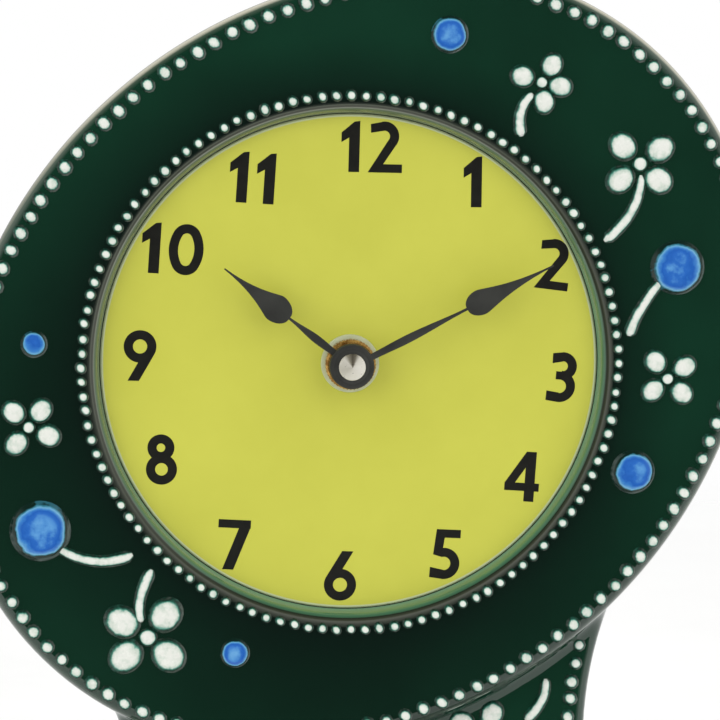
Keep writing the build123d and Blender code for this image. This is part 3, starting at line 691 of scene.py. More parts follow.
BRASS = Mottled(
    "milled_brass", (0.2, 0.34), tint(226, 180, 98), tint(138, 94, 38), metallic=0.55, patch=1.2,
    grain_size=0.3, relief=0.01, slot=Slot.BRASS)
NYLON = Mottled(
    "moulded_nylon", (0.3, 0.4), tint(204, 210, 172), tint(188, 194, 152), patch=3, grain_size=0.6,
    slot=Slot.NYLON)
# The cap's colour is a painted reflection: a dark streak at the top among bright ones, with a
# painted glint.
CAP_METAL = SpunMetal(
    "spun_steel", (0.26, 0.36), metallic=0.35, relief=0.006, slot=Slot.BRIGHT,
    centre=(DIAL_CENTRE[0], 0, DIAL_CENTRE[1]),
    streaks=(
        (0.0, CAP_GLINT), (0.22, tint(212, 208, 192)), (0.38, tint(228, 224, 210)),
        (0.44, tint(150, 144, 126)), (0.5, tint(92, 86, 72)), (0.55, tint(128, 122, 106)),
        (0.6, tint(224, 220, 206)), (0.8, tint(238, 234, 222)), (1.0, CAP_GLINT)))
RUBBER = Mottled("black_rubber", (0.7, 0.85), tint(26, 26, 27), tint(36, 36, 37), grain_size=0.4)
HOUSING = Mottled(
    "black_housing", (0.42, 0.56), tint(27, 28, 30), tint(36, 37, 39), patch=9, grain_size=0.35,
    relief=0.03)
WHEELS = Mottled("cream_wheels", (0.35, 0.5), tint(222, 216, 196), tint(208, 200, 178), patch=2)
ARBOR = Mottled(
    "drawn_steel", (0.2, 0.32), tint(170, 170, 172), tint(150, 150, 154), metallic=1.0, patch=2)
KNOB = Mottled(
    "grey_knob", (0.4, 0.5), tint(58, 59, 62), tint(70, 71, 74), patch=3, grain_size=0.35)
MAGNET = Mottled("ferrite", (0.55, 0.7), tint(52, 50, 50), tint(66, 63, 62), metallic=0.4, patch=1)
IRON = Mottled(
    "soft_iron", (0.35, 0.5), tint(150, 150, 148), tint(128, 128, 128), metallic=1.0, patch=3)
BOBBIN = Mottled("white_bobbin", (0.35, 0.45), tint(226, 224, 214), tint(210, 208, 198), patch=3)
COPPER = Mottled(
    "copper_wire", (0.25, 0.4), tint(190, 104, 62), tint(158, 78, 44), metallic=1.0, patch=1,
    grain_size=0.2)
BOARD = Mottled("circuit_board", (0.35, 0.5), tint(36, 96, 62), tint(28, 80, 52), patch=4)
RESIN = Mottled("black_resin", (0.25, 0.35), tint(20, 20, 21), tint(30, 30, 31), patch=1)
CONTACT = Mottled(
    "spring_steel", (0.22, 0.36), tint(188, 188, 184), tint(168, 168, 166), metallic=1.0, patch=3)
FLOOR = FloorPaint("pale_floor", (0.7, 0.8), tint(246, 246, 245), tint(242, 242, 241), patch=120)


# Mesh helpers


def loft(bm: BMesh, rings: list[list[Vector]], caps: bool = True) -> list[list[BMVert]]:
    """Wall through closed rings of points, grown from the first ring by extruding its edges.

    Args:
        bm: Mesh that takes the wall.
        rings: Rings with the same number of points.
        caps: Whether the first and last rings are filled.

    Returns:
        The vertices of each ring.
    """
    row = bmesh.ops.create_circle(bm, segments=len(rings[0]), radius=1.0)["verts"]
    row.sort(key=lambda vert: math.atan2(vert.co.y, vert.co.x))
    for vert, point in zip(row, rings[0]):
        vert.co = point
    edges = list(dict.fromkeys(edge for vert in row for edge in vert.link_edges))
    rows = [row]
    if caps:
        bmesh.ops.contextual_create(bm, geom=edges)
    for ring in rings[1:]:
        grown = bmesh.ops.extrude_edge_only(bm, edges=edges)["geom"]
        fresh = {item for item in grown if isinstance(item, BMVert)}
        row = [next(edge.other_vert(vert) for edge in vert.link_edges
                    if edge.other_vert(vert) in fresh) for vert in rows[-1]]
        for vert, point in zip(row, ring):
            vert.co = point
        edges = [item for item in grown if isinstance(item, BMEdge)]
        rows.append(row)
    if caps:
        bmesh.ops.contextual_create(bm, geom=edges)
    return rows


def turned(bm: BMesh, profile: list[Point], steps: int, closed: bool = True) -> list[BMVert]:
    """Round solid turned about the Y axis through the origin.

    Args:
        bm: Mesh that takes the solid.
        profile: Radius and place along Y of each profile point, in order.
        steps: Number of steps round.
        closed: Whether the last profile point joins the first.

    Returns:
        All vertices of the solid.
    """
    before = set(bm.verts)
    points = [bm.verts.new((radius, along, 0.0)) for radius, along in profile]
    edges = [bm.edges.new(pair) for pair in zip(points, points[1:])]
    if closed:
        edges.append(bm.edges.new((points[-1], points[0])))
    bmesh.ops.spin(bm, geom=points + edges, axis=(0, 1, 0), cent=ORIGIN, angle=2 * math.pi,
                   steps=steps, use_merge=True)
    return [vert for vert in bm.verts if vert not in before]


def swing(bm: BMesh, verts: list[BMVert], angle: float, axis: str = "Y",
          centre: tuple[float, float, float] = ORIGIN) -> None:
    """Turns vertices by an angle in degrees about an axis through a centre."""
    turn = Matrix.Rotation(math.radians(angle), 3, axis)
    bmesh.ops.rotate(bm, verts=verts, cent=centre, matrix=turn)


def at_spindle(bm: BMesh, verts: list[BMVert]) -> None:
    """Moves vertices turned about the origin to the spindle."""
    bmesh.ops.translate(bm, verts=verts, vec=(DIAL_CENTRE[0], 0, DIAL_CENTRE[1]))


def settle(bm: BMesh, name: str, body: Body, finish: Finish, nodes: tuple[str, ...] = (),
           crease: float = 38.0) -> None:
    """Makes a piece of the clock from a finished mesh.

    Args:
        bm: Mesh in millimetres, which is freed.
        name: Name of the piece.
        body: Body that it rides on.
        finish: Finish that it wears.
        nodes: Solids that it stands for.
        crease: Angle in degrees above which an edge stays sharp.
    """
    bmesh.ops.remove_doubles(bm, verts=bm.verts, dist=WELD)
    bmesh.ops.recalc_face_normals(bm, faces=bm.faces)
    bmesh.ops.scale(bm, vec=(MM, MM, MM), verts=bm.verts)
    mesh = bpy.data.meshes.new(name)
    bm.to_mesh(mesh)
    bm.free()
    mesh.shade_smooth()
    mesh.set_sharp_from_angle(angle=math.radians(crease))
    piece = bpy.data.objects.new(name, mesh)
    bpy.context.scene.collection.objects.link(piece)
    mesh.materials.append(finish.material())
    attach(piece, body.value)
    if nodes:
        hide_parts(*nodes)
    log.info("%s: %d faces", name, len(mesh.polygons))


# Case


@dataclass
class Oval:
    """Outline of the head seen from the front: four arcs, its long axis rising to the right."""

    long_radius: float = 91.1
    short_radius: float = 75.75
    end_radius: float = 67.49
    tilt: float = 40.0
    centre: Point = (0.0, 140.15)

    def __post_init__(self) -> None:
        """Finds the flank arcs and how far the centres of the arcs lie off the middle."""
        self.flank_radius = flank_arc(self.long_radius, self.short_radius, self.end_radius)
        self.end_shift = self.long_radius - self.end_radius
        self.flank_shift = self.flank_radius - self.short_radius

    def outside(self, x: float, z: float) -> float:
        """Distance of a point from the outline.

        Args:
            x: Place across.
            z: Height.

        Returns:
            The distance in millimetres, negative inside.
        """
        turn = math.radians(self.tilt)
        off_x, off_z = x - self.centre[0], z - self.centre[1]
        along = abs(off_x * math.cos(turn) + off_z * math.sin(turn))
        aside = abs(off_z * math.cos(turn) - off_x * math.sin(turn))
        if along * self.flank_shift > (aside + self.flank_shift) * self.end_shift:
            return math.hypot(along - self.end_shift, aside) - self.end_radius
        return math.hypot(along, aside + self.flank_shift) - self.flank_radius

    def reach(self, origin: Point, angle: float, inset: float) -> float:
        """Distance from an inner point, at an angle in degrees, to the outline less an inset."""
        return halving(0.0, 2 * self.long_radius,
                       lambda length: self.outside(*polar(origin, length, angle)) >= -inset)


@dataclass(frozen=True)
class Column:
    """Column of points up the neck: its share across and back, and its offset across and back."""

    across: float
    back: float
    off_x: float
    off_y: float


@dataclass(frozen=True)
class Shoulder:
    """Arc that rounds a flank of the neck into the head: its centre, lowest and highest height."""

    x: float
    z: float
    start: float
    end: float


@dataclass
class CaseShell:
    """Fired shell: oval head with its dial well and open back, neck and hollow foot.

    Each side of the glaze gives a direction in degrees, the level across it and the swing to it.
    """

    oval: Oval = field(default_factory=Oval)
    front: float = -24.0
    back: float = 14.0
    wall: float = 6.0
    rim_round: float = 3.2
    rim_steps: int = 10
    draft: float = 1.6
    side_shares: tuple[float, ...] = (0.1, 0.14, 0.25, 0.5, 0.75)
    back_round: float = 1.8
    back_steps: int = 4
    mouth_edge: float = 0.8
    mouth_fold: float = 0.25
    inner_shares: tuple[float, ...] = (0.66, 0.33)
    inner_cove: float = 1.2
    inner_fold: float = 0.35
    floor_front: float = -19.4
    floor_back: float = -14.4
    front_rings: tuple[float, ...] = (12.0, 22.0, 32.0, 42.0)
    back_rings: tuple[float, ...] = (66.0, 56.0, 40.0, 24.0, 12.0)
    hole_radius: float = 4.5
    well_radius: float = 52.7
    well_cove: float = 0.6
    wall_radius: float = 53.1
    wall_top: float = -22.2
    lip_radius: float = 55.2
    lip_steps: int = 8
    face_shares: tuple[float, ...] = (0.2, 0.45, 0.7, 1.0)
    plate_radius: float = 84.0
    plate_blend: float = 8.0
    steps: int = 240
    waist_height: float = 57.0
    waist_half_width: float = 50.0
    side_sweep: float = 85.0
    shoulder: float = 18.0
    shoulder_sink: float = 0.6
    shoulder_turn: float = 70.0
    neck_front: float = -17.0
    neck_back: float = 10.0
    foot_reach: float = 33.0
    flare_height: float = 50.0
    corner: float = 2.5
    corner_steps: int = 5
    face_steps: int = 30
    flank_steps: int = 8
    foot_wall: float = 6.0
    hollow_height: float = 44.0
    hollow_steps: int = 12
    flare_steps: int = 14
    neck_steps: int = 10
    cove: float = 3.6
    back_cove: float = 0.6
    join_drops: tuple[float, ...] = (6.0, 5.0, 4.0, 3.2, 2.5, 1.9, 1.4, 1.0, 0.6, 0.3, 0.1)
    sunk: float = 3.0
    # The pale rim: glaze run thin over the edge and a painted highlight, strongest on the rim
    # highlight side.
    bare_inset: float = 1.8
    bare_run: float = 1.5
    bare_depth: float = 4.4
    bare_fade: float = 2.2
    bare_least: float = 0.45
    bare_side: tuple[float, float, float] = (70.0, 0.5, 0.8)
    lit_side: tuple[float, float, float] = (-60.0, 0.6, 0.6)
    band_reach: float = 20.0
    pool_start: float = 0.165
    # The dark band round the lip reaches further out towards the lower left.
    pool: float = 0.7
    pool_side: tuple[float, float, float] = (235.0, 0.5, 0.5)
    on_edge: float = 0.01

    def __post_init__(self) -> None:
        """Finds the arcs that round the neck into the head."""
        self.arcs = {side: self.shoulder_arc(side) for side in Side}

    def profile(self) -> list[Point]:
        """Closed profile of the head as a round plate, before it is pushed out to the oval.

        Returns:
            Radius and depth of each point.
        """
        rim = self.plate_radius
        heel, inner, face_end = rim - self.draft, rim - self.wall, rim - self.plate_blend
        well_end = self.well_radius - self.well_cove
        lip_reach = (self.wall_radius - self.lip_radius, self.front - self.wall_top)
        points = [(radius, self.floor_front)
                  for radius in (self.hole_radius, *self.front_rings, well_end)]
        points += [(self.well_radius, self.floor_front - self.well_cove)]
        points += arc((self.lip_radius, self.wall_top), lip_reach, 0, 90, self.lip_steps)
        points += [(mix(self.lip_radius, face_end, share), self.front)
                   for share in self.face_shares]
        points += arc((rim - self.rim_round, self.front + self.rim_round),
                      (self.rim_round, -self.rim_round), 90, 0, self.rim_steps)
        points += [(mix(rim, heel, share), mix(self.front, self.back, share))
                   for share in self.side_shares]
        points += arc((heel - self.back_round, self.back - self.back_round),
                      (self.back_round, self.back_round), 0, 90, self.back_steps)
        points += [(inner + self.mouth_edge, self.back),
                   (inner + self.mouth_fold, self.back - self.mouth_fold),
                   (inner, self.back - self.mouth_edge)]
        points += [(inner, mix(self.floor_back, self.back, share)) for share in self.inner_shares]
        points += [(inner, self.floor_back + self.inner_cove),
                   (inner - self.inner_fold, self.floor_back + self.inner_fold),
                   (inner - self.inner_cove, self.floor_back)]
        points += [(radius, self.floor_back) for radius in (*self.back_rings, self.hole_radius)]
        return points

    def spread(self, radius: float, angle: float) -> float:
        """Place of a plate point once the plate is pushed out to the oval.

        Args:
            radius: Distance from the spindle on the round plate.
            angle: Direction in degrees.

        Returns:
            Distance from the spindle on the head.
        """
        if radius <= self.lip_radius:
            return radius
        inset = max(self.plate_radius - radius, 0.0)
        if inset < self.plate_blend:
            return self.oval.reach(DIAL_CENTRE, angle, inset)
        face = self.plate_radius - self.plate_blend - self.lip_radius
        face_end = self.oval.reach(DIAL_CENTRE, angle, self.plate_blend)
        return mix(self.lip_radius, face_end, (radius - self.lip_radius) / face)

    def head(self, bm: BMesh) -> None:
        """Turns the head and pushes it out to the oval.

        Args:
            bm: Mesh that takes the head.
        """
        for vert in turned(bm, self.profile(), self.steps):
            radius = math.hypot(vert.co.x, vert.co.z)
            angle = math.degrees(math.atan2(vert.co.z, vert.co.x))
            vert.co.x, vert.co.z = polar(DIAL_CENTRE, self.spread(round(radius, 6), angle), angle)

    def shoulder_arc(self, side: Side) -> Shoulder:
        """Arc that rounds one flank of the neck into the head.

        Args:
            side: Flank of the neck.

        Returns:
            The arc.
        """
        pivot = (self.waist_half_width + self.side_sweep, self.waist_height)
        reach = self.side_sweep + self.shoulder_sink - self.shoulder

        def gap(x: float, z: float) -> float:
            """Distance of a point on this flank from the head."""
            return self.oval.outside(side.value * x, z)

        turn = halving(0.0, self.shoulder_turn, lambda turn:
                       gap(*polar(pivot, reach, 180 - turn)) + self.shoulder_sink <= self.shoulder)
        x, z = polar(pivot, reach, 180 - turn)
        start = polar(pivot, reach + self.shoulder, 180 - turn)[1]
        step = 0.01
        rise = (gap(x, z + step) - gap(x, z)) / step
        return Shoulder(x, z, start, z - self.shoulder * rise)

    def flank(self, side: Side, height: float) -> float:
        """Half width of the neck and foot on one side.

        Args:
            side: Flank of the neck.
            height: Height above the ground.

        Returns:
            Distance from the middle.
        """
        bend = self.arcs[side]
        level = min(height, bend.end)
        width = self.waist_half_width + sagitta(self.side_sweep, level - self.waist_height)
        if level <= bend.start:
            return width
        return max(width, bend.x - math.sqrt(max(self.shoulder ** 2 - (level - bend.z) ** 2, 0.0)))

    def depth(self, base: float, foot: float, height: float) -> float:
        """Place across Y of the front or back face at a height.

        Args:
            base: Place of the face on the neck.
            foot: Place of the face at the ground.
            height: Height above the ground.

        Returns:
            Place across Y.
        """
        drift = abs(foot - base)
        radius = (drift ** 2 + self.flare_height ** 2) / (2 * drift)
        flare = sagitta(radius, max(self.flare_height - height, 0.0))
        return base + math.copysign(flare, foot - base)

    def columns(self) -> list[Column]:
        """Columns round the neck.

        Returns:
            The columns, in order round the neck.
        """
        face = [step / self.face_steps for step in range(self.face_steps + 1)]
        flank = [step / self.flank_steps for step in range(self.flank_steps + 1)]
        bend = [(across, back) for back, across in
                arc((0, 0), (self.corner, self.corner), 0, 90, self.corner_steps)[1:-1]]
        ring = [Column(share, 0.0, 0.0, -self.corner) for share in face]
        ring += [Column(1.0, 0.0, across, -back) for across, back in bend]
        ring += [Column(1.0, share, self.corner, 0.0) for share in flank]
        ring += [Column(1.0, 1.0, across, back) for across, back in reversed(bend)]
        ring += [Column(share, 1.0, 0.0, self.corner) for share in reversed(face)]
        ring += [Column(0.0, 1.0, -across, back) for across, back in bend]
        ring += [Column(0.0, share, -self.corner, 0.0) for share in reversed(flank)]
        ring += [Column(0.0, 0.0, -across, -back) for across, back in reversed(bend)]
        return ring

    def place(self, column: Column, height: float, inset: float = 0.0) -> Vector:
        """Point of a column at a height.

        Args:
            column: Column round the neck.
            height: Height above the ground.
            inset: How far the point is drawn in from the outer face.

        Returns:
            The point.
        """
        gap = self.corner + inset
        left, right = gap - self.flank(Side.LEFT, height), self.flank(Side.RIGHT, height) - gap
        x = mix(left, right, column.across) + column.off_x
        front_face = self.depth(self.neck_front, -self.foot_reach, height)
        back_face = self.depth(self.neck_back, self.foot_reach, height)
        y = mix(front_face + gap, back_face - gap, column.back) + column.off_y
        if not inset:
            y += self.swell(x, height, column.off_y) * column.off_y / self.corner
        return Vector((x, y, height))

    def swell(self, x: float, height: float, off_y: float) -> float:
        """How far the cove under the head pushes a face of the neck out.

        Args:
            x: Place across.
            height: Height above the ground.
            off_y: Offset of the column, which tells front from back.

        Returns:
            The push in millimetres.
        """
        radius = self.cove if off_y < 0 else self.cove * self.back_cove
        gap = min(max(self.oval.outside(x, height), 0.0), radius)
        return sagitta(radius, radius - gap)

    def meeting(self, column: Column, inset: float) -> float:
        """Height at which a column of the neck meets the head drawn in by an inset."""
        return halving(self.flare_height, self.oval.centre[1], lambda height:
                       self.oval.outside(self.place(column, height).x, height) <= -inset)

    def neck(self, bm: BMesh) -> None:
        """Grows the neck from the ceiling of the foot's hollow, round its rim and up into the head.

        Args:
            bm: Mesh that takes the neck.
        """
        columns = self.columns()
        middle = (self.neck_front + self.neck_back) / 2
        edges = [self.meeting(column, 0.0) for column in columns]
        tops = [self.meeting(column, self.sunk) for column in columns]

        def level_row(height: float, inset: float = 0.0) -> list[Vector]:
            """Points of all columns at one height."""
            return [self.place(column, height, inset) for column in columns]

        def row(heights: list[float]) -> list[Vector]:
            """Points of all columns, each at its own height."""
            return [self.place(column, height) for column, height in zip(columns, heights)]

        def seam(points: list[Vector]) -> list[Vector]:
            """Points drawn together to a line, which closes the wall."""
            return [Vector((point.x, middle, point.z)) for point in points]

        hollow = [level_row(self.hollow_height * (1 - step / self.hollow_steps), self.foot_wall)
                  for step in range(self.hollow_steps + 1)]
        outer = [level_row(self.flare_height * step / self.flare_steps)
                 for step in range(self.flare_steps)]
        for step in range(self.neck_steps):
            share = step / self.neck_steps
            outer.append(row([mix(self.flare_height, edge - self.join_drops[0], share)
                              for edge in edges]))
        outer += [row([edge - drop for edge in edges]) for drop in self.join_drops]
        outer.append(row(tops))
        loft(bm, [seam(hollow[0])] + hollow + outer + [seam(outer[-1])], caps=False)

    def bareness(self, point: Vector, turn: float) -> float:
        """How pale the rim of the head is at a point: glaze run thin over the edge, with a painted
        highlight that grows towards one side.

        Args:
            point: Point of the shell.
            turn: Its direction from the spindle in radians.

        Returns:
            Share from 0 to 1.
        """
        edge = self.oval.outside(point.x, point.z)
        if edge >= self.on_edge:
            return 0.0
        rim = ease((edge + self.bare_inset) / self.bare_run)
        rim *= ease((self.front + self.bare_depth - point.y) / self.bare_fade)
        return rim * mix(self.bare_least, 1.0, facing(turn, *self.bare_side))

    def lip_share(self, point: Vector, turn: float) -> float:
        """Share of the way from the well's wall across the bands of painted reflections round it,
        squeezed towards the lower left so that the dark band there reaches further out.

        Args:
            point: Point of the shell.
            turn: Its direction from the spindle in radians.

        Returns:
            Share of the bands' reach, 1 where there are none.
        """
        if point.y >= self.floor_front:
            return 1.0
        radius = math.hypot(point.x - DIAL_CENTRE[0], point.z - DIAL_CENTRE[1])
        share = (radius - self.well_radius) / self.band_reach
        if share <= self.pool_start:
            return share
        # Towards the lower left the dark band round the lip reaches further out.
        return mix(self.pool_start, share, 1 - self.pool * facing(turn, *self.pool_side))

    def build(self) -> None:
        """Makes the shell and dresses it in glaze."""
        bm = bmesh.new()
        self.head(bm)
        self.neck(bm)
        thin, lip, lit = (bm.verts.layers.float.new(name) for name in ("thin", "lip", "lit"))
        for vert in bm.verts:
            turn = math.atan2(vert.co.z - DIAL_CENTRE[1], vert.co.x - DIAL_CENTRE[0])
            # Pale rim: thin glaze and a painted highlight.
            vert[thin] = self.bareness(vert.co, turn)
            vert[lip] = self.lip_share(vert.co, turn)
            # Which side of the well gets the lit copy of the painted lip reflections.
            vert[lit] = facing(turn, *self.lit_side)
        settle(bm, "case_body_glazed", Body.CASE, GLAZE, ("case_body",), crease=50)


# Raised slip trim


@dataclass
class Dab:
    """Place and size of one dab of slip, read from its solid."""

    centre: Vector
    normal: Vector
    long_axis: Vector
    length: float
    width: float
    height: float


def islands(node: str) -> list[list[Vector]]:
    """Corner points of each separate solid of a node.

    Args:
        node: Name of the node.

    Returns:
        One list of points in millimetres for each solid.
    """
    bm = bmesh.new()
    bm.from_mesh(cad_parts[node].data)
    bmesh.ops.remove_doubles(bm, verts=bm.verts, dist=TOUCH)
    seen = set()
    groups = []
    for start in bm.verts:
        if start in seen:
            continue
        seen.add(start)
        group = [start]
        for vert in group:
            others = [edge.other_vert(vert) for edge in vert.link_edges]
            fresh = [other for other in others if other not in seen]
            seen.update(fresh)
            group += fresh
        groups.append([vert.co / MM for vert in group])
    bm.free()
    return groups


def read_dab(points: list[Vector]) -> Dab:
    """Reads a dab from its corner points: a flat rim and one tip.

    Args:
        points: Corner points of the dab.

    Returns:
        The dab.
    """
    def others(tip: Vector) -> list[Vector]:
        """All points but one."""
        return [point for point in points if point is not tip]

    def bend(tip: Vector) -> float:
        """How far the other points are from lying in one plane.

        Args:
            tip: Point that is left out.

        Returns:
            The largest distance from the plane.
        """
        rim = others(tip)
        flat = (rim[1] - rim[0]).cross(rim[2] - rim[0]).normalized()
        return max(abs((point - rim[0]).dot(flat)) for point in rim)

    tip = min(points, key=bend)
    rim = others(tip)
    centre = sum(rim, Vector()) / len(rim)
    reaches = sorted(((point - centre) for point in rim), key=lambda arm: arm.length)
    shortest, longest = reaches[0], reaches[-1]
    return Dab(centre, (tip - centre).normalized(), longest.normalized(), 2 * longest.length,
               2 * shortest.length, (tip - centre).length)


@dataclass
class SlipTrim:
    """Rows of dots, flowers with stems and berries, trailed in slip on the case.

    Each profile gives the reach, height and bareness of a dab from its foot to its top.
    """

    seed: int = 11
    wander: float = 0.16
    crease: float = 75.0
    covered: float = 0.2
    light_side: float = -35.0
    rows: tuple[tuple[str, float], ...] = (
        ("rim_slip_dots", 1.0), ("lip_slip_dots", 0.84), ("foot_slip_dots", 1.05))
    stretch: float = 0.16
    dot_sizes: tuple[float, float] = (0.9, 1.06)
    dot_turns: tuple[float, float] = (30.0, 75.0)
    dot_sides: int = 10
    dot_profile: Profile = (
        (1.42, -0.02, 0.05), (1.349, 0.12, 0.08), (1.1, 0.38, 0.14), (0.94, 0.62, 0.34),
        (0.76, 0.82, 0.62), (0.46, 0.97, 0.9), (0.15, 1.0, 1.0))
    petal_sides: int = 20
    petal_profile: Profile = (
        (1.24, -0.02, 0.05), (1.2, 0.1, 0.08), (1.1, 0.36, 0.14), (0.99, 0.62, 0.3),
        (0.88, 0.8, 0.55), (0.68, 0.94, 0.84), (0.38, 1.02, 1.0), (0.1, 1.05, 1.0))
    berry_sides: int = 32
    berry_profile: Profile = (
        (1.2, -0.02, 0.05), (1.16, 0.12, 0.08), (1.08, 0.4, 0.14), (0.98, 0.66, 0.27),
        (0.85, 0.84, 0.45), (0.65, 0.95, 0.62), (0.38, 0.99, 0.72), (0.1, 1.0, 0.8))
    stem_profile: Profile = (
        (1.0, -0.02, 0.05), (0.95, 0.12, 0.08), (0.72, 0.5, 0.21), (0.52, 0.82, 0.55),
        (0.22, 1.0, 1.0))
    stem_width: float = 1.75
    stem_skirt: float = 1.55
    stem_height: float = 0.75
    stem_steps: int = 16
    stem_taper: float = 0.12
    stem_blunt: float = 0.4
    stem_low: float = 0.1
    stem_widths: tuple[float, float] = (0.86, 1.1)
    ring_face: float = -24.0
    neck_face: float = -17.0
    ring_stems: tuple[tuple[Point, Point, Point], ...] = (
        ((36.9, 196.7), (34.4, 192.9), (34.6, 187.8)),
        ((59.8, 179.6), (58.0, 172.2), (52.2, 165.8)),
        ((-45.3, 85.9), (-45.6, 90.8), (-43.1, 97.1)),
        ((64.6, 157.7), (60.1, 151.4), (57.6, 145.7)),
        ((-62.9, 102.1), (-55.0, 99.1), (-47.1, 100.4)),
    )
    neck_stem: tuple[Point, Point, Point] = ((41.4, 70.8), (40.6, 66.1), (37.1, 61.8))

    def __post_init__(self) -> None:
        """Starts the hand's small unevenness from one seed and finds the way to the light."""
        self.chance = random.Random(self.seed)
        across, up = polar((0, 0), 1.0, self.light_side)
        self.light = Vector((across, 0, up))

    def sheen(self, arm: Vector, level: float) -> float:
        """Level of the slip at a point, which drops to the glaze's sheen on the light's side.

        Args:
            arm: Way from the middle of the dab to the point.
            level: Level of the slip at the lightest side.

        Returns:
            The level at the point.
        """
        # Painted reflection: the foot of the dab drops to the grey band only on the side facing the
        # light.
        if level > self.covered:
            return level
        return mix(self.covered, level, ease(arm.normalized().dot(self.light)))

    def stamp(self, bm: BMesh, dab: Dab, profile: Profile, sides: int) -> None:
        """Sets one low dome of slip on the clay.

        Args:
            bm: Mesh that takes the dome.
            dab: Place and size.
            profile: Reach, height and bareness of the dome from its foot to its top.
            sides: Sides of the dome.
        """
        slip = bm.verts.layers.float.get("slip") or bm.verts.layers.float.new("slip")
        push = Vector([self.chance.uniform(-1, 1) for _ in range(3)]) * self.wander
        push -= push.dot(dab.normal) * dab.normal
        middle = dab.centre + push
        along = dab.long_axis * dab.length / 2
        aside = dab.normal.cross(dab.long_axis) * dab.width / 2
        outline = arc((0, 0), (1, 1), 0, 360, sides)[:-1]
        up = dab.normal * dab.height
        rings = [[middle + reach * (along * x + aside * z) + up * rise for x, z in outline]
                 for reach, rise, _ in profile]
        for row, (_, _, bareness) in zip(loft(bm, rings), profile):
            for vert in row:
                vert[slip] = self.sheen(vert.co - middle, bareness)

    def dots(self, node: str, scale: float) -> None:
        """Makes one row of dots, each a little uneven.

        Args:
            node: Node that the row stands for.
            scale: Size of the dots against their solids.
        """
        bm = bmesh.new()
        for points in islands(node):
            dab = read_dab(points)
            stretch = 1 + self.chance.uniform(0, self.stretch)
            size = scale * self.chance.uniform(*self.dot_sizes)
            dab.length, dab.width = dab.length * size * stretch, dab.width * size / stretch ** 0.5
            turn = Matrix.Rotation(math.radians(self.chance.uniform(*self.dot_turns)), 3, "Y")
            level = turn @ Vector((1, 0, 0))
            dab.long_axis = (level - level.dot(dab.normal) * dab.normal).normalized()
            self.stamp(bm, dab, self.dot_profile, self.dot_sides)
        settle(bm, node + "_trailed", Body.CASE, WHITE_SLIP, (node,), crease=self.crease)

    def domes(self, node: str, profile: Profile, sides: int, finish: Finish) -> None:
        """Makes a group of petals or berries, each as large as its solid.

        Args:
            node: Node that the group stands for.
            profile: Profile of one dome.
            sides: Sides of one dome.
            finish: Slip that they are made of.
        """
        bm = bmesh.new()
        for points in islands(node):
            self.stamp(bm, read_dab(points), profile, sides)
        settle(bm, node + "_trailed", Body.CASE, finish, (node,), crease=self.crease)

    def stroke(self, bm: BMesh, ends: tuple[Point, Point, Point], face: float) -> None:
        """Trails one curved stroke with rounded ends.

        Args:
            bm: Mesh that takes the stroke.
            ends: Start, middle and end of the stroke.
            face: Place across Y of the clay under it.
        """
        slip = bm.verts.layers.float.get("slip") or bm.verts.layers.float.new("slip")
        section = [(-reach, rise, bareness) for reach, rise, bareness in self.stem_profile]
        section += reversed(self.stem_profile)
        start, middle, end = (Vector(point) for point in ends)
        bow = 2 * middle - (start + end) / 2
        rings = []
        for step in range(self.stem_steps + 1):
            share = step / self.stem_steps
            spot = (1 - share) ** 2 * start + 2 * share * (1 - share) * bow + share ** 2 * end
            heading = ((1 - share) * (bow - start) + share * (end - bow)).normalized()
            from_end = min(share, 1 - share, self.stem_taper) / self.stem_taper
            taper = math.sqrt(1 - (1 - from_end) ** 2)
            half = self.stem_width * self.stem_skirt / 2 * mix(self.stem_blunt, 1.0, taper)
            half *= mix(*self.stem_widths, share)
            rise = self.stem_height * mix(self.stem_low, 1.0, taper)
            aside = Vector((-heading.y, 0, heading.x)) * half
            base = Vector((spot.x, face, spot.y))
            rings.append([base + aside * across - Vector((0, up * rise, 0))
                          for across, up, _ in section])
        for row in loft(bm, rings):
            middle = (row[0].co + row[-1].co) / 2
            for vert, (_, _, bareness) in zip(row, section):
                vert[slip] = self.sheen(vert.co - middle, bareness)

    def stems(self) -> None:
        """Makes the stems."""
        bm = bmesh.new()
        for ends in self.ring_stems:
            self.stroke(bm, ends, self.ring_face)
        self.stroke(bm, self.neck_stem, self.neck_face)
        settle(bm, "flower_stems_trailed", Body.CASE, WHITE_SLIP, ("flower_stems",),
               crease=self.crease)

    def build(self) -> None:
        """Makes all the trim."""
        for node, scale in self.rows:
            self.dots(node, scale)
        self.domes("flower_petals", self.petal_profile, self.petal_sides, WHITE_SLIP)
        self.stems()
        self.domes("berries", self.berry_profile, self.berry_sides, BLUE_SLIP)


# Dial and numbers


@dataclass(frozen=True)
class Bow:
    """Curved stroke of the nib: its centre, outer radius, first and last angle in degrees."""

    centre: Point
    outer: float
    start: float = 0.0
    end: float = 360.0


@dataclass(frozen=True)
class Digit:
    """Strokes of one digit in a box one unit high, in the order of drawing.

    A stroke is a bow or the corners of a flat patch.
    """

    strokes: tuple[Bow | tuple[Point, ...], ...]
    upside_down: bool = False


@dataclass(frozen=True)
class Spot:
    """Where a number stands, seen from the spindle, and how far it leans clockwise in degrees."""

    x: float
    z: float
    lean: float


def bar(left: float, right: float, low: float, high: float) -> tuple[Point, ...]:
    """Corners of an upright or level bar."""
    return ((left, low), (right, low), (right, high), (left, high))


def slant(foot: Point, head: Point, width: float) -> tuple[Point, ...]:
    """Corners of a slanting bar, cut level at both ends."""
    return (foot, (foot[0] + width, foot[1]), (head[0] + width, head[1]), head)


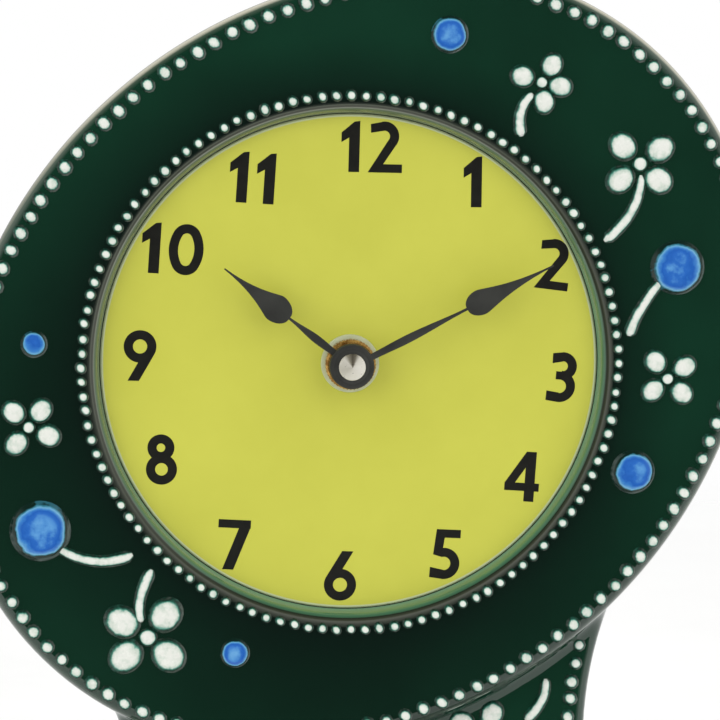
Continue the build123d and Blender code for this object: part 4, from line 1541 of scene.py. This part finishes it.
def ring(tall: float, wide: float, end: float) -> tuple[Bow, ...]:
    """Narrow ring of four bows.

    Args:
        tall: Half of its height.
        wide: Half of its width.
        end: Radius of the bows at its ends.

    Returns:
        The bows: right, top, left and bottom.
    """
    flank = flank_arc(tall, wide, end)
    join = math.degrees(math.atan2(tall - end, flank - wide))
    return (Bow((wide - flank, 0.5), flank, -join, join),
            Bow((0, 0.5 + tall - end), end, join, 180 - join),
            Bow((flank - wide, 0.5), flank, 180 - join, 180 + join),
            Bow((0, 0.5 - tall + end), end, 180 + join, 360 - join))


SIX = (Bow((0, 0.32), 0.32), slant((-0.28, 0.474), (0.01, 1.0), 0.222))
DIGITS = {
    "0": Digit(ring(0.5, 0.34, 0.285)),
    "1": Digit((
        ((-0.03, 0), (0.18, 0), (0.18, 1.0), (0.07, 0.985), (-0.03, 0.9)),
        ((0.0, 0.69), (0.05, 0.965), (-0.18, 0.77), (-0.18, 0.58)))),
    "2": Digit((
        Bow((-0.05, 0.71), 0.29, 100, -40),
        ((-0.315, 0.775), (-0.05, 0.82), (-0.05, 1.0), (-0.32, 0.945)),
        ((-0.36, 0), (-0.17, 0), (0.172, 0.524), (0.034, 0.639)),
        bar(-0.2, 0.31, 0, 0.165))),
    "3": Digit((
        Bow((0, 0.72), 0.28, 95, -85),
        ((-0.21, 0.765), (0, 0.815), (0, 1.0), (-0.215, 0.965)),
        Bow((-0.035, 0.315), 0.315, 85, -95),
        ((-0.285, 0.025), (-0.035, 0.0), (-0.035, 0.19), (-0.28, 0.215)),
        bar(-0.12, 0.04, 0.45, 0.61))),
    "4": Digit((
        bar(0.05, 0.25, 0, 1), slant((-0.35, 0.36), (0.05, 1.0), 0.2),
        bar(-0.35, 0.34, 0.21, 0.37))),
    "5": Digit((
        bar(-0.2, 0.28, 0.835, 1),
        ((-0.25, 0.49), (-0.08, 0.445), (-0.015, 1.0), (-0.2, 1.0)),
        Bow((-0.03, 0.315), 0.315, 112, -95),
        ((-0.305, 0.03), (-0.03, 0.0), (-0.03, 0.185), (-0.298, 0.235)))),
    "6": Digit(SIX),
    "7": Digit((bar(-0.31, 0.33, 0.835, 1), slant((-0.19, 0.0), (0.11, 0.87), 0.22))),
    "8": Digit((Bow((0, 0.305), 0.305), Bow((0, 0.735), 0.265))),
    "9": Digit(SIX, upside_down=True),
}


@dataclass
class Numbers:
    """Numbers of the dial, drawn with a flat nib."""

    size: float = 10.7
    nib: float = 0.18
    gap: float = 0.17
    film: float = 0.03
    layer: float = 0.004
    steps: int = 60
    least_steps: int = 4
    spots: tuple[Spot, ...] = (
        Spot(25.9, 38.1, 0.5), Spot(42.6, 20.4, 7.5), Spot(44.9, -3.4, 5.0),
        Spot(36.6, -24.7, 4.0), Spot(20.3, -41.1, 3.0), Spot(-2.1, -45.5, 3.0),
        Spot(-24.4, -38.4, 3.5), Spot(-39.8, -20.1, -1.0), Spot(-44.1, 2.0, 1.5),
        Spot(-37.1, 24.4, 4.0), Spot(-20.2, 39.1, 4.0), Spot(4.6, 45.5, 1.5))

    def bow(self, bm: BMesh, bow: Bow) -> list[BMFace]:
        """Flat faces of a curved stroke.

        Args:
            bm: Mesh that takes the stroke.
            bow: The stroke.

        Returns:
            The faces.
        """
        before = set(bm.faces)
        ends = [polar(bow.centre, radius, bow.start)
                for radius in (bow.outer - self.nib, bow.outer)]
        verts = [bm.verts.new((x, 0, z)) for x, z in ends]
        sweep = bow.end - bow.start
        bmesh.ops.spin(bm, geom=verts + [bm.edges.new(verts)], axis=(0, -1, 0),
                       cent=(bow.centre[0], 0, bow.centre[1]), angle=math.radians(sweep),
                       steps=max(int(self.steps * abs(sweep) / 360), self.least_steps),
                       use_merge=abs(sweep) == 360)
        return [face for face in bm.faces if face not in before]

    def ink(self, bm: BMesh, faces: list[BMFace], order: int) -> None:
        """Raises a stroke by its film of ink, a hair more than the stroke before it.

        Args:
            bm: Mesh that holds the stroke.
            faces: Flat faces of the stroke.
            order: How many strokes of the digit were drawn before it.
        """
        grown = bmesh.ops.extrude_face_region(bm, geom=faces, use_keep_orig=True)["geom"]
        top = [item for item in grown if isinstance(item, BMVert)]
        bmesh.ops.translate(bm, verts=top, vec=(0, -self.film - self.layer * order, 0))

    def digit(self, bm: BMesh, digit: Digit) -> list[BMVert]:
        """Draws one digit, one unit high.

        Args:
            bm: Mesh that takes the digit.
            digit: Its drawing.

        Returns:
            Its vertices.
        """
        before = set(bm.verts)
        for order, stroke in enumerate(digit.strokes):
            if isinstance(stroke, Bow):
                faces = self.bow(bm, stroke)
            else:
                faces = [bm.faces.new([bm.verts.new((x, 0, z)) for x, z in stroke])]
            self.ink(bm, faces, order)
        fresh = [vert for vert in bm.verts if vert not in before]
        if digit.upside_down:
            swing(bm, fresh, 180, centre=(0, 0, 0.5))
        return fresh

    def number(self, bm: BMesh, text: str) -> list[BMVert]:
        """Draws the digits of a number side by side, one unit high.

        Args:
            bm: Mesh that takes the number.
            text: Its digits.

        Returns:
            The number's vertices.
        """
        drawn = []
        cursor = 0.0
        for figure in text:
            fresh = self.digit(bm, DIGITS[figure])
            shift = cursor - min(vert.co.x for vert in fresh)
            bmesh.ops.translate(bm, verts=fresh, vec=(shift, 0, 0))
            cursor = max(vert.co.x for vert in fresh) + self.gap
            drawn += fresh
        return drawn

    def build(self, face: float) -> None:
        """Prints the twelve numbers.

        Args:
            face: Place across Y of the dial's front.
        """
        bm = bmesh.new()
        for hour, spot in enumerate(self.spots, 1):
            verts = self.number(bm, str(hour))
            bmesh.ops.scale(bm, vec=(self.size, 1, self.size), verts=verts)
            swing(bm, verts, spot.lean)
            across, up = [vert.co.x for vert in verts], [vert.co.z for vert in verts]
            bmesh.ops.translate(bm, verts=verts, vec=(
                DIAL_CENTRE[0] + spot.x - (min(across) + max(across)) / 2, face,
                DIAL_CENTRE[1] + spot.z - (min(up) + max(up)) / 2))
        settle(bm, "dial_numbers", Body.CASE, INK, crease=30)


@dataclass
class Dial:
    """Round plate in the well, printed with numbers."""

    radius: float = 52.5
    front: float = -20.2
    back: float = -19.4
    hole: float = 4.04
    edge: float = 0.3
    bare: float = 0.2
    rings: tuple[float, ...] = (12.0, 24.0, 36.0, 46.0)
    paint_end: float = 0.2
    steps: int = 144
    numbers: Numbers = field(default_factory=Numbers)

    def build(self) -> None:
        """Makes the plate and its print."""
        bm = bmesh.new()
        painted = self.radius - self.edge - self.bare
        inner = painted - self.paint_end
        profile = [(radius, self.front) for radius in (self.hole, *self.rings, inner, painted)]
        profile += [(self.radius - self.edge, self.front), (self.radius, self.front + self.edge),
                    (self.radius, self.back), (self.hole, self.back)]
        rim = bm.verts.layers.float.new("rim")
        verts = turned(bm, profile, self.steps)
        for vert in verts:
            vert[rim] = 1.0 if math.hypot(vert.co.x, vert.co.z) > (inner + painted) / 2 else 0.0
        at_spindle(bm, verts)
        settle(bm, "dial_printed", Body.CASE, DIAL_PAINT, ("dial",), crease=30)
        self.numbers.build(self.front)


# Hub and hands


@dataclass
class Hub:
    """Washer, knurled nut and cap at the middle of the dial.

    Each point of the cap's cone gives its radius and how far it lies behind the tip.
    """

    washer_radius: float = 6.15
    washer_front: float = -21.0
    washer_back: float = -20.2
    washer_edge: float = 0.2
    washer_fold: float = 0.06
    washer_steps: int = 96
    bush_radius: float = 4.04
    nut_radius: float = 5.35
    nut_front: float = -23.4
    nut_mouth: float = 0.3
    nut_face: float = 0.5
    nut_edge: float = 0.4
    nut_heel: float = 0.3
    flutes: int = 44
    flute_steps: int = 4
    flute_depth: float = 0.14
    flute_start: float = 0.1
    cap_radius: float = 2.8
    cap_front: float = -28.7
    cap_back: float = -27.0
    cap_edge: float = 0.1
    cap_hole: float = 1.33
    cap_hole_front: float = -27.5
    cap_rounding: float = 0.3
    cap_bend: float = 72.0
    cap_bend_steps: int = 4
    cap_slope: float = 0.85
    cap_cone: tuple[Point, ...] = ((1.2, 0.391), (0.12, 0.02), (0.0, 0.0))
    cap_steps: int = 64

    def washer(self) -> None:
        """Makes the pale washer."""
        bm = bmesh.new()
        rim, front = self.washer_radius, self.washer_front
        profile = [(self.bush_radius, self.washer_back), (self.bush_radius, front),
                   (rim - self.washer_edge, front),
                   (rim - self.washer_fold, front + self.washer_fold),
                   (rim, front + self.washer_edge), (rim, self.washer_back)]
        at_spindle(bm, turned(bm, profile, self.washer_steps))
        settle(bm, "face_washer_moulded", Body.CASE, NYLON, ("face_washer",))

    def nut(self) -> None:
        """Makes the nut with its milled edge."""
        bm = bmesh.new()
        rim, front, back = self.nut_radius, self.nut_front, self.washer_front
        profile = [(self.bush_radius, back), (self.bush_radius, front + self.nut_mouth),
                   (self.bush_radius + self.nut_mouth, front), (rim - self.nut_face, front),
                   (rim, front + self.nut_edge), (rim, back - self.nut_edge),
                   (rim - self.nut_heel, back)]
        verts = turned(bm, profile, self.flute_steps * self.flutes)
        for vert in verts:
            radius = math.hypot(vert.co.x, vert.co.z)
            if radius > rim - self.flute_start:
                wave = 0.5 - 0.5 * math.cos(self.flutes * math.atan2(vert.co.z, vert.co.x))
                scale = 1 - self.flute_depth * wave / radius
                vert.co.x, vert.co.z = vert.co.x * scale, vert.co.z * scale
        at_spindle(bm, verts)
        settle(bm, "fixing_nut_milled", Body.CASE, BRASS, ("fixing_nut",), crease=30)

    def cap(self) -> None:
        """Makes the spun cap that holds the hands."""
        bm = bmesh.new()
        rim, bend = self.cap_radius, self.cap_rounding
        profile = [(self.cap_hole, self.cap_hole_front), (self.cap_hole, self.cap_back),
                   (rim - self.cap_edge, self.cap_back), (rim, self.cap_back - self.cap_edge)]
        profile += arc((rim - bend, self.cap_front + self.cap_slope + bend), (bend, -bend),
                       0, self.cap_bend, self.cap_bend_steps)
        profile += [(radius, self.cap_front + drop) for radius, drop in self.cap_cone]
        turned(bm, profile, self.cap_steps, closed=False)
        bmesh.ops.remove_doubles(bm, verts=bm.verts, dist=WELD)
        bmesh.ops.holes_fill(bm, edges=[edge for edge in bm.edges if edge.is_boundary], sides=0)
        at_spindle(bm, bm.verts[:])
        settle(bm, "cap_nut_spun", Body.MINUTE, CAP_METAL, ("cap_nut",), crease=34)

    def build(self) -> None:
        """Makes the three pieces."""
        self.washer()
        self.nut()
        self.cap()


@dataclass
class Hand:
    """Pressed pear-shaped hand with an embossed hub.

    Each hub step gives the inset from the hub's edge and the depth below its face.
    """

    node: str
    body: Body
    length: float
    blade_width: float
    neck_share: float
    widest_share: float
    angle: float
    front: float
    hole: float
    thickness: float = 0.4
    hub_radius: float = 4.7
    hub_steps: tuple[Point, ...] = (
        (1.3, 0.0), (1.15, 0.1), (0.95, 0.1), (0.8, 0.0), (0.2, 0.0), (0.05, 0.06), (0.0, 0.18))
    hub_sides: int = 72
    collar_radius: float = 3.3
    collar_height: float = 0.9
    root_inset: float = 0.6
    root_width: float = 1.3
    root_steps: int = 6
    swell_width: float = 1.75
    swell_share: float = 0.27
    swell_steps: int = 8
    neck_width: float = 0.55
    neck_steps: int = 10
    tip_width: float = 0.3
    tip_steps: int = 12
    lean: tuple[float, float] = (0.08, 0.36)
    edge_drop: float = 0.14
    hub_rise: float = 0.04
    crown_share: float = 0.55

    def stations(self) -> list[Point]:
        """Half widths along the hand, from inside the hub to the tip.

        Returns:
            Distance from the spindle and half width of each station.
        """
        start, swell, neck, widest = self.collar_radius + self.root_inset, *(
            share * self.length for share in (self.swell_share, self.neck_share, self.widest_share))
        marks = []
        for low, high, first, second, steps in (
                (start, swell, self.root_width, self.swell_width, self.root_steps),
                (swell, neck, self.swell_width, self.neck_width, self.swell_steps)):
            for step in range(steps):
                share = step / steps
                marks.append((mix(low, high, share), mix(first, second, ease(share)) / 2))
        half_neck, half_blade = self.neck_width / 2, self.blade_width / 2
        marks += arc((widest, half_neck), (neck - widest, half_blade - half_neck),
                     0, 90, self.neck_steps)[:-1]
        run = self.length - widest
        for step in range(self.tip_steps + 1):
            share = step / self.tip_steps
            rest = 1 - share
            early, late, last = 3 * share * rest ** 2, 3 * share ** 2 * rest, share ** 3
            along = early * self.lean[0] + late * self.lean[1] + last
            half = (rest ** 3 + early) * half_blade + (late + last / 2) * self.tip_width
            marks.append((widest + run * along, half))
        return marks

    def blade(self, bm: BMesh) -> list[BMVert]:
        """Stem and blade along +X, with edges pressed down.

        Args:
            bm: Mesh that takes the blade.

        Returns:
            Its vertices.
        """
        front, back = self.front + self.hub_rise, self.front + self.thickness
        low = self.front + self.edge_drop
        rings = []
        for along, half in self.stations():
            crown = half * self.crown_share
            section = ((half, back), (half, low), (crown, front),
                       (-crown, front), (-half, low), (-half, back))
            rings.append([Vector((along, depth, aside)) for aside, depth in section])
        return [vert for row in loft(bm, rings) for vert in row]

    def hub(self, bm: BMesh) -> list[BMVert]:
        """Round hub with an embossed ring and a collar behind.

        Args:
            bm: Mesh that takes the hub.

        Returns:
            Its vertices.
        """
        rim, collar = self.hub_radius, self.collar_radius
        back, end = self.front + self.thickness, self.front + self.collar_height
        profile = [(self.hole, self.front)]
        profile += [(rim - inset, self.front + drop) for inset, drop in self.hub_steps]
        profile += [(rim, back), (collar, back), (collar, end), (self.hole, end)]
        return turned(bm, profile, self.hub_sides)

    def build(self) -> None:
        """Makes the hand and turns it to its place."""
        bm = bmesh.new()
        verts = self.blade(bm)
        swing(bm, verts, -self.angle)
        verts += self.hub(bm)
        at_spindle(bm, verts)
        settle(bm, self.node + "_pressed", self.body, HAND_PAINT, (self.node,), crease=40)


# Movement


@dataclass
class Cell:
    """Dry cell that lies across the foot of the movement."""

    edge: float = 0.8
    cap_radius: float = 2.75
    cap_length: float = 1.3
    cap_edge: float = 0.3
    shrink: float = 1.6
    fold: float = 0.1
    dip: float = 0.25
    steps: int = 64

    def build(self) -> None:
        """Makes the cell along X from the box of its solid."""
        low, high = (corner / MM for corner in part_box("battery"))
        centre, radius = (low + high) / 2, (high.z - low.z) / 2
        shoulder = high.x - self.cap_length
        end, bend = radius - self.shrink, radius - self.edge
        cap, cap_edge = self.cap_radius, self.cap_edge
        profile = [(0.0, low.x), (end, low.x), (end, low.x + self.dip), (bend, low.x + self.fold),
                   (radius, low.x + self.edge), (radius, shoulder - self.edge),
                   (bend, shoulder - self.fold), (end, shoulder - self.dip), (end, shoulder),
                   (cap, shoulder), (cap, high.x - cap_edge), (cap - cap_edge, high.x),
                   (0.0, high.x)]
        bm = bmesh.new()
        turned(bm, profile, self.steps, closed=False)
        swing(bm, bm.verts[:], -90, axis="Z")
        bmesh.ops.translate(bm, verts=bm.verts, vec=(0, centre.y, centre.z))
        wrap = Sleeve("cell_sleeve", (0.25, 0.35), metallic=0.2, slot=Slot.SLEEVE,
                      first=tint(34, 36, 40), second=tint(40, 42, 47), band=tint(176, 120, 62),
                      start=low.x, end=high.x)
        settle(bm, "battery_wrapped", Body.BATTERY, wrap, ("battery",))


@dataclass
class Movement:
    """Quartz movement behind the dial, dressed over its solids."""

    edge: float = 0.25
    wheel_edge: float = 0.04
    edge_segments: int = 2
    edge_angle: float = 40.0
    coats: tuple[tuple[Finish, tuple[str, ...]], ...] = (
        (BRASS, ("shaft_bush",)),
        (RUBBER, ("rubber_washer",)),
        (HOUSING, ("movement_housing", "rear_cover")),
        (WHEELS, ("train_bridge", "hour_wheel", "reverse_wheel", "centre_wheel", "third_wheel",
                  "seconds_wheel", "intermediate_wheel", "rotor_pinion")),
        (ARBOR, ("cannon_pinion",)),
        (KNOB, ("setting_knob",)),
        (MAGNET, ("rotor_magnet",)),
        (IRON, ("stator", "coil_core")),
        (BOBBIN, ("coil_bobbin",)),
        (COPPER, ("coil_winding",)),
        (BOARD, ("circuit_board",)),
        (CONTACT, ("quartz_crystal", "negative_contact", "positive_contact")),
        (RESIN, ("timing_chip",)),
    )
    eased: tuple[str, ...] = ("movement_housing", "rear_cover", "setting_knob")

    def dress(self, name: str, finish: Finish) -> None:
        """Dresses one solid and eases its edges.

        Args:
            name: Node of the solid.
            finish: Finish that it wears.
        """
        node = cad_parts[name]
        node.data.materials.clear()
        node.data.materials.append(finish.material())
        weld = node.modifiers.new("weld", "WELD")
        weld.merge_threshold = TOUCH
        bevel = node.modifiers.new("ease", "BEVEL")
        bevel.width = (self.edge if name in self.eased else self.wheel_edge) * MM
        bevel.segments = self.edge_segments
        bevel.limit_method = "ANGLE"
        bevel.angle_limit = math.radians(self.edge_angle)
        log.info("%s: dressed in %s", name, finish.name)

    def build(self) -> None:
        """Dresses each solid and wraps the cell."""
        for finish, nodes in self.coats:
            for name in nodes:
                self.dress(name, finish)
        Cell().build()


# Studio


@dataclass
class Lamp:
    """Soft square lamp aimed at the clock, its place and size in metres."""

    name: str
    place: tuple[float, float, float]
    size: float
    power: float

    def build(self, target: Vector) -> None:
        """Hangs the lamp.

        Args:
            target: Point that it shines at, in metres.
        """
        data = bpy.data.lights.new(self.name, "AREA")
        data.size = self.size
        data.energy = self.power
        lamp = bpy.data.objects.new(self.name, data)
        lamp.visible_glossy = False
        lamp.location = self.place
        lamp.rotation_euler = (target - Vector(self.place)).to_track_quat("-Z", "Y").to_euler()
        bpy.context.scene.collection.objects.link(lamp)


@dataclass
class Studio:
    """Pale floor, soft lamps, white surround and the camera of the photograph.

    Sizes of the floor are metres. Each glow gives an axis of the surround, where along it the glow
    starts and is full, and its strength.
    """

    floor_width: float = 2.4
    floor_front: float = -0.17
    floor_back: float = 1.6
    frame_width: float = 720.0
    focal: float = 3321.0
    sensor: float = 36.0
    distance: float = 700.0
    azimuth: float = -4.24
    elevation: float = 7.0
    aim: tuple[float, float, float] = (DIAL_CENTRE[0], -20.2, DIAL_CENTRE[1])
    aim_pixel: Point = (349.83, 363.12)
    surround: float = 0.74
    front_glow: float = 0.03
    glows: tuple[tuple[str, float, float, float], ...] = (
        ("Y", 0.1, 0.8, 0.6), ("X", 0.35, 0.8, 0.8), ("X", -0.6, -0.95, 0.7),
        ("Z", -0.45, -0.9, 0.8))
    lamps: tuple[Lamp, ...] = (
        Lamp("key", (0.7, -0.8, 0.75), 1.3, 3.9),
        Lamp("fill", (-0.85, -0.7, 0.45), 1.1, 3.7),
        Lamp("top", (0.1, 0.25, 0.95), 0.8, 3.8),
    )

    def floor(self) -> None:
        """Lays the pale floor."""
        bm = bmesh.new()
        bmesh.ops.create_grid(bm, x_segments=1, y_segments=1, size=0.5)
        length = self.floor_back - self.floor_front
        middle = (self.floor_front + self.floor_back) / 2
        bmesh.ops.scale(bm, vec=(self.floor_width, length, 1), verts=bm.verts)
        bmesh.ops.translate(bm, vec=(0, middle, 0), verts=bm.verts)
        mesh = bpy.data.meshes.new("floor")
        bm.to_mesh(mesh)
        bm.free()
        ground = bpy.data.objects.new("floor", mesh)
        bpy.context.scene.collection.objects.link(ground)
        mesh.materials.append(FLOOR.material())

    def world(self) -> None:
        """Surrounds the clock with white, mirrored only from the sides, the ground and the back."""
        world = bpy.data.worlds.new("surround")
        bpy.context.scene.world = world
        world.use_nodes = True
        recipe = Recipe(world.node_tree)
        way = recipe.node("ShaderNodeTexCoord").outputs["Generated"]
        split = recipe.node("ShaderNodeSeparateXYZ", Vector=way)
        glows = [recipe.span(split.outputs[axis], smooth=True, From_Min=start, From_Max=end,
                             To_Min=self.front_glow, To_Max=strength)
                 for axis, start, end, strength in self.glows]
        mirrored = glows[0]
        for glow in glows[1:]:
            mirrored = recipe.reckon("MAXIMUM", mirrored, glow)
        path = recipe.node("ShaderNodeLightPath").outputs
        glossy = recipe.reckon("MAXIMUM", path["Is Glossy Ray"], path["Is Transmission Ray"])
        level = recipe.span(glossy, To_Min=self.surround, To_Max=mirrored)
        seen = recipe.reckon("MAXIMUM", path["Is Camera Ray"], level)
        recipe.feed(world.node_tree.nodes["Background"], Color=(1, 1, 1, 1), Strength=seen)

    def camera(self) -> None:
        """Stands the camera where the photograph was taken from."""
        data = bpy.data.cameras.new("camera")
        data.sensor_width = self.sensor
        data.lens = self.focal / self.frame_width * self.sensor
        data.shift_x = (self.frame_width / 2 - self.aim_pixel[0]) / self.frame_width
        data.shift_y = (self.aim_pixel[1] - self.frame_width / 2) / self.frame_width
        turn, rise = math.radians(self.azimuth), math.radians(self.elevation)
        away = Vector((math.sin(turn) * math.cos(rise), -math.cos(turn) * math.cos(rise),
                       math.sin(rise)))
        camera = bpy.data.objects.new("camera", data)
        camera.location = (Vector(self.aim) + away * self.distance) * MM
        camera.rotation_euler = (-away).to_track_quat("-Z", "Y").to_euler()
        bpy.context.scene.collection.objects.link(camera)
        bpy.context.scene.camera = camera

    def build(self) -> None:
        """Sets up the studio."""
        bpy.context.scene.view_settings.view_transform = "Standard"
        self.floor()
        self.world()
        for lamp in self.lamps:
            lamp.build(Vector(self.aim) * MM)
        self.camera()


def main() -> None:
    """Builds the clock piece by piece and sets it in the studio."""
    logging.basicConfig(level=logging.INFO, format="%(name)s %(message)s")
    CaseShell().build()
    SlipTrim().build()
    Dial().build()
    Hub().build()
    Hand("hour_hand", Body.HOUR, length=33.6, blade_width=5.85, neck_share=0.49, widest_share=0.6,
         angle=142.1, front=-25.6, hole=2.53).build()
    Hand("minute_hand", Body.MINUTE, length=47.2, blade_width=5.35, neck_share=0.57,
         widest_share=0.64, angle=26.4, front=-27.0, hole=1.33).build()
    Movement().build()
    Studio().build()


if __name__ == "__main__":
    main()
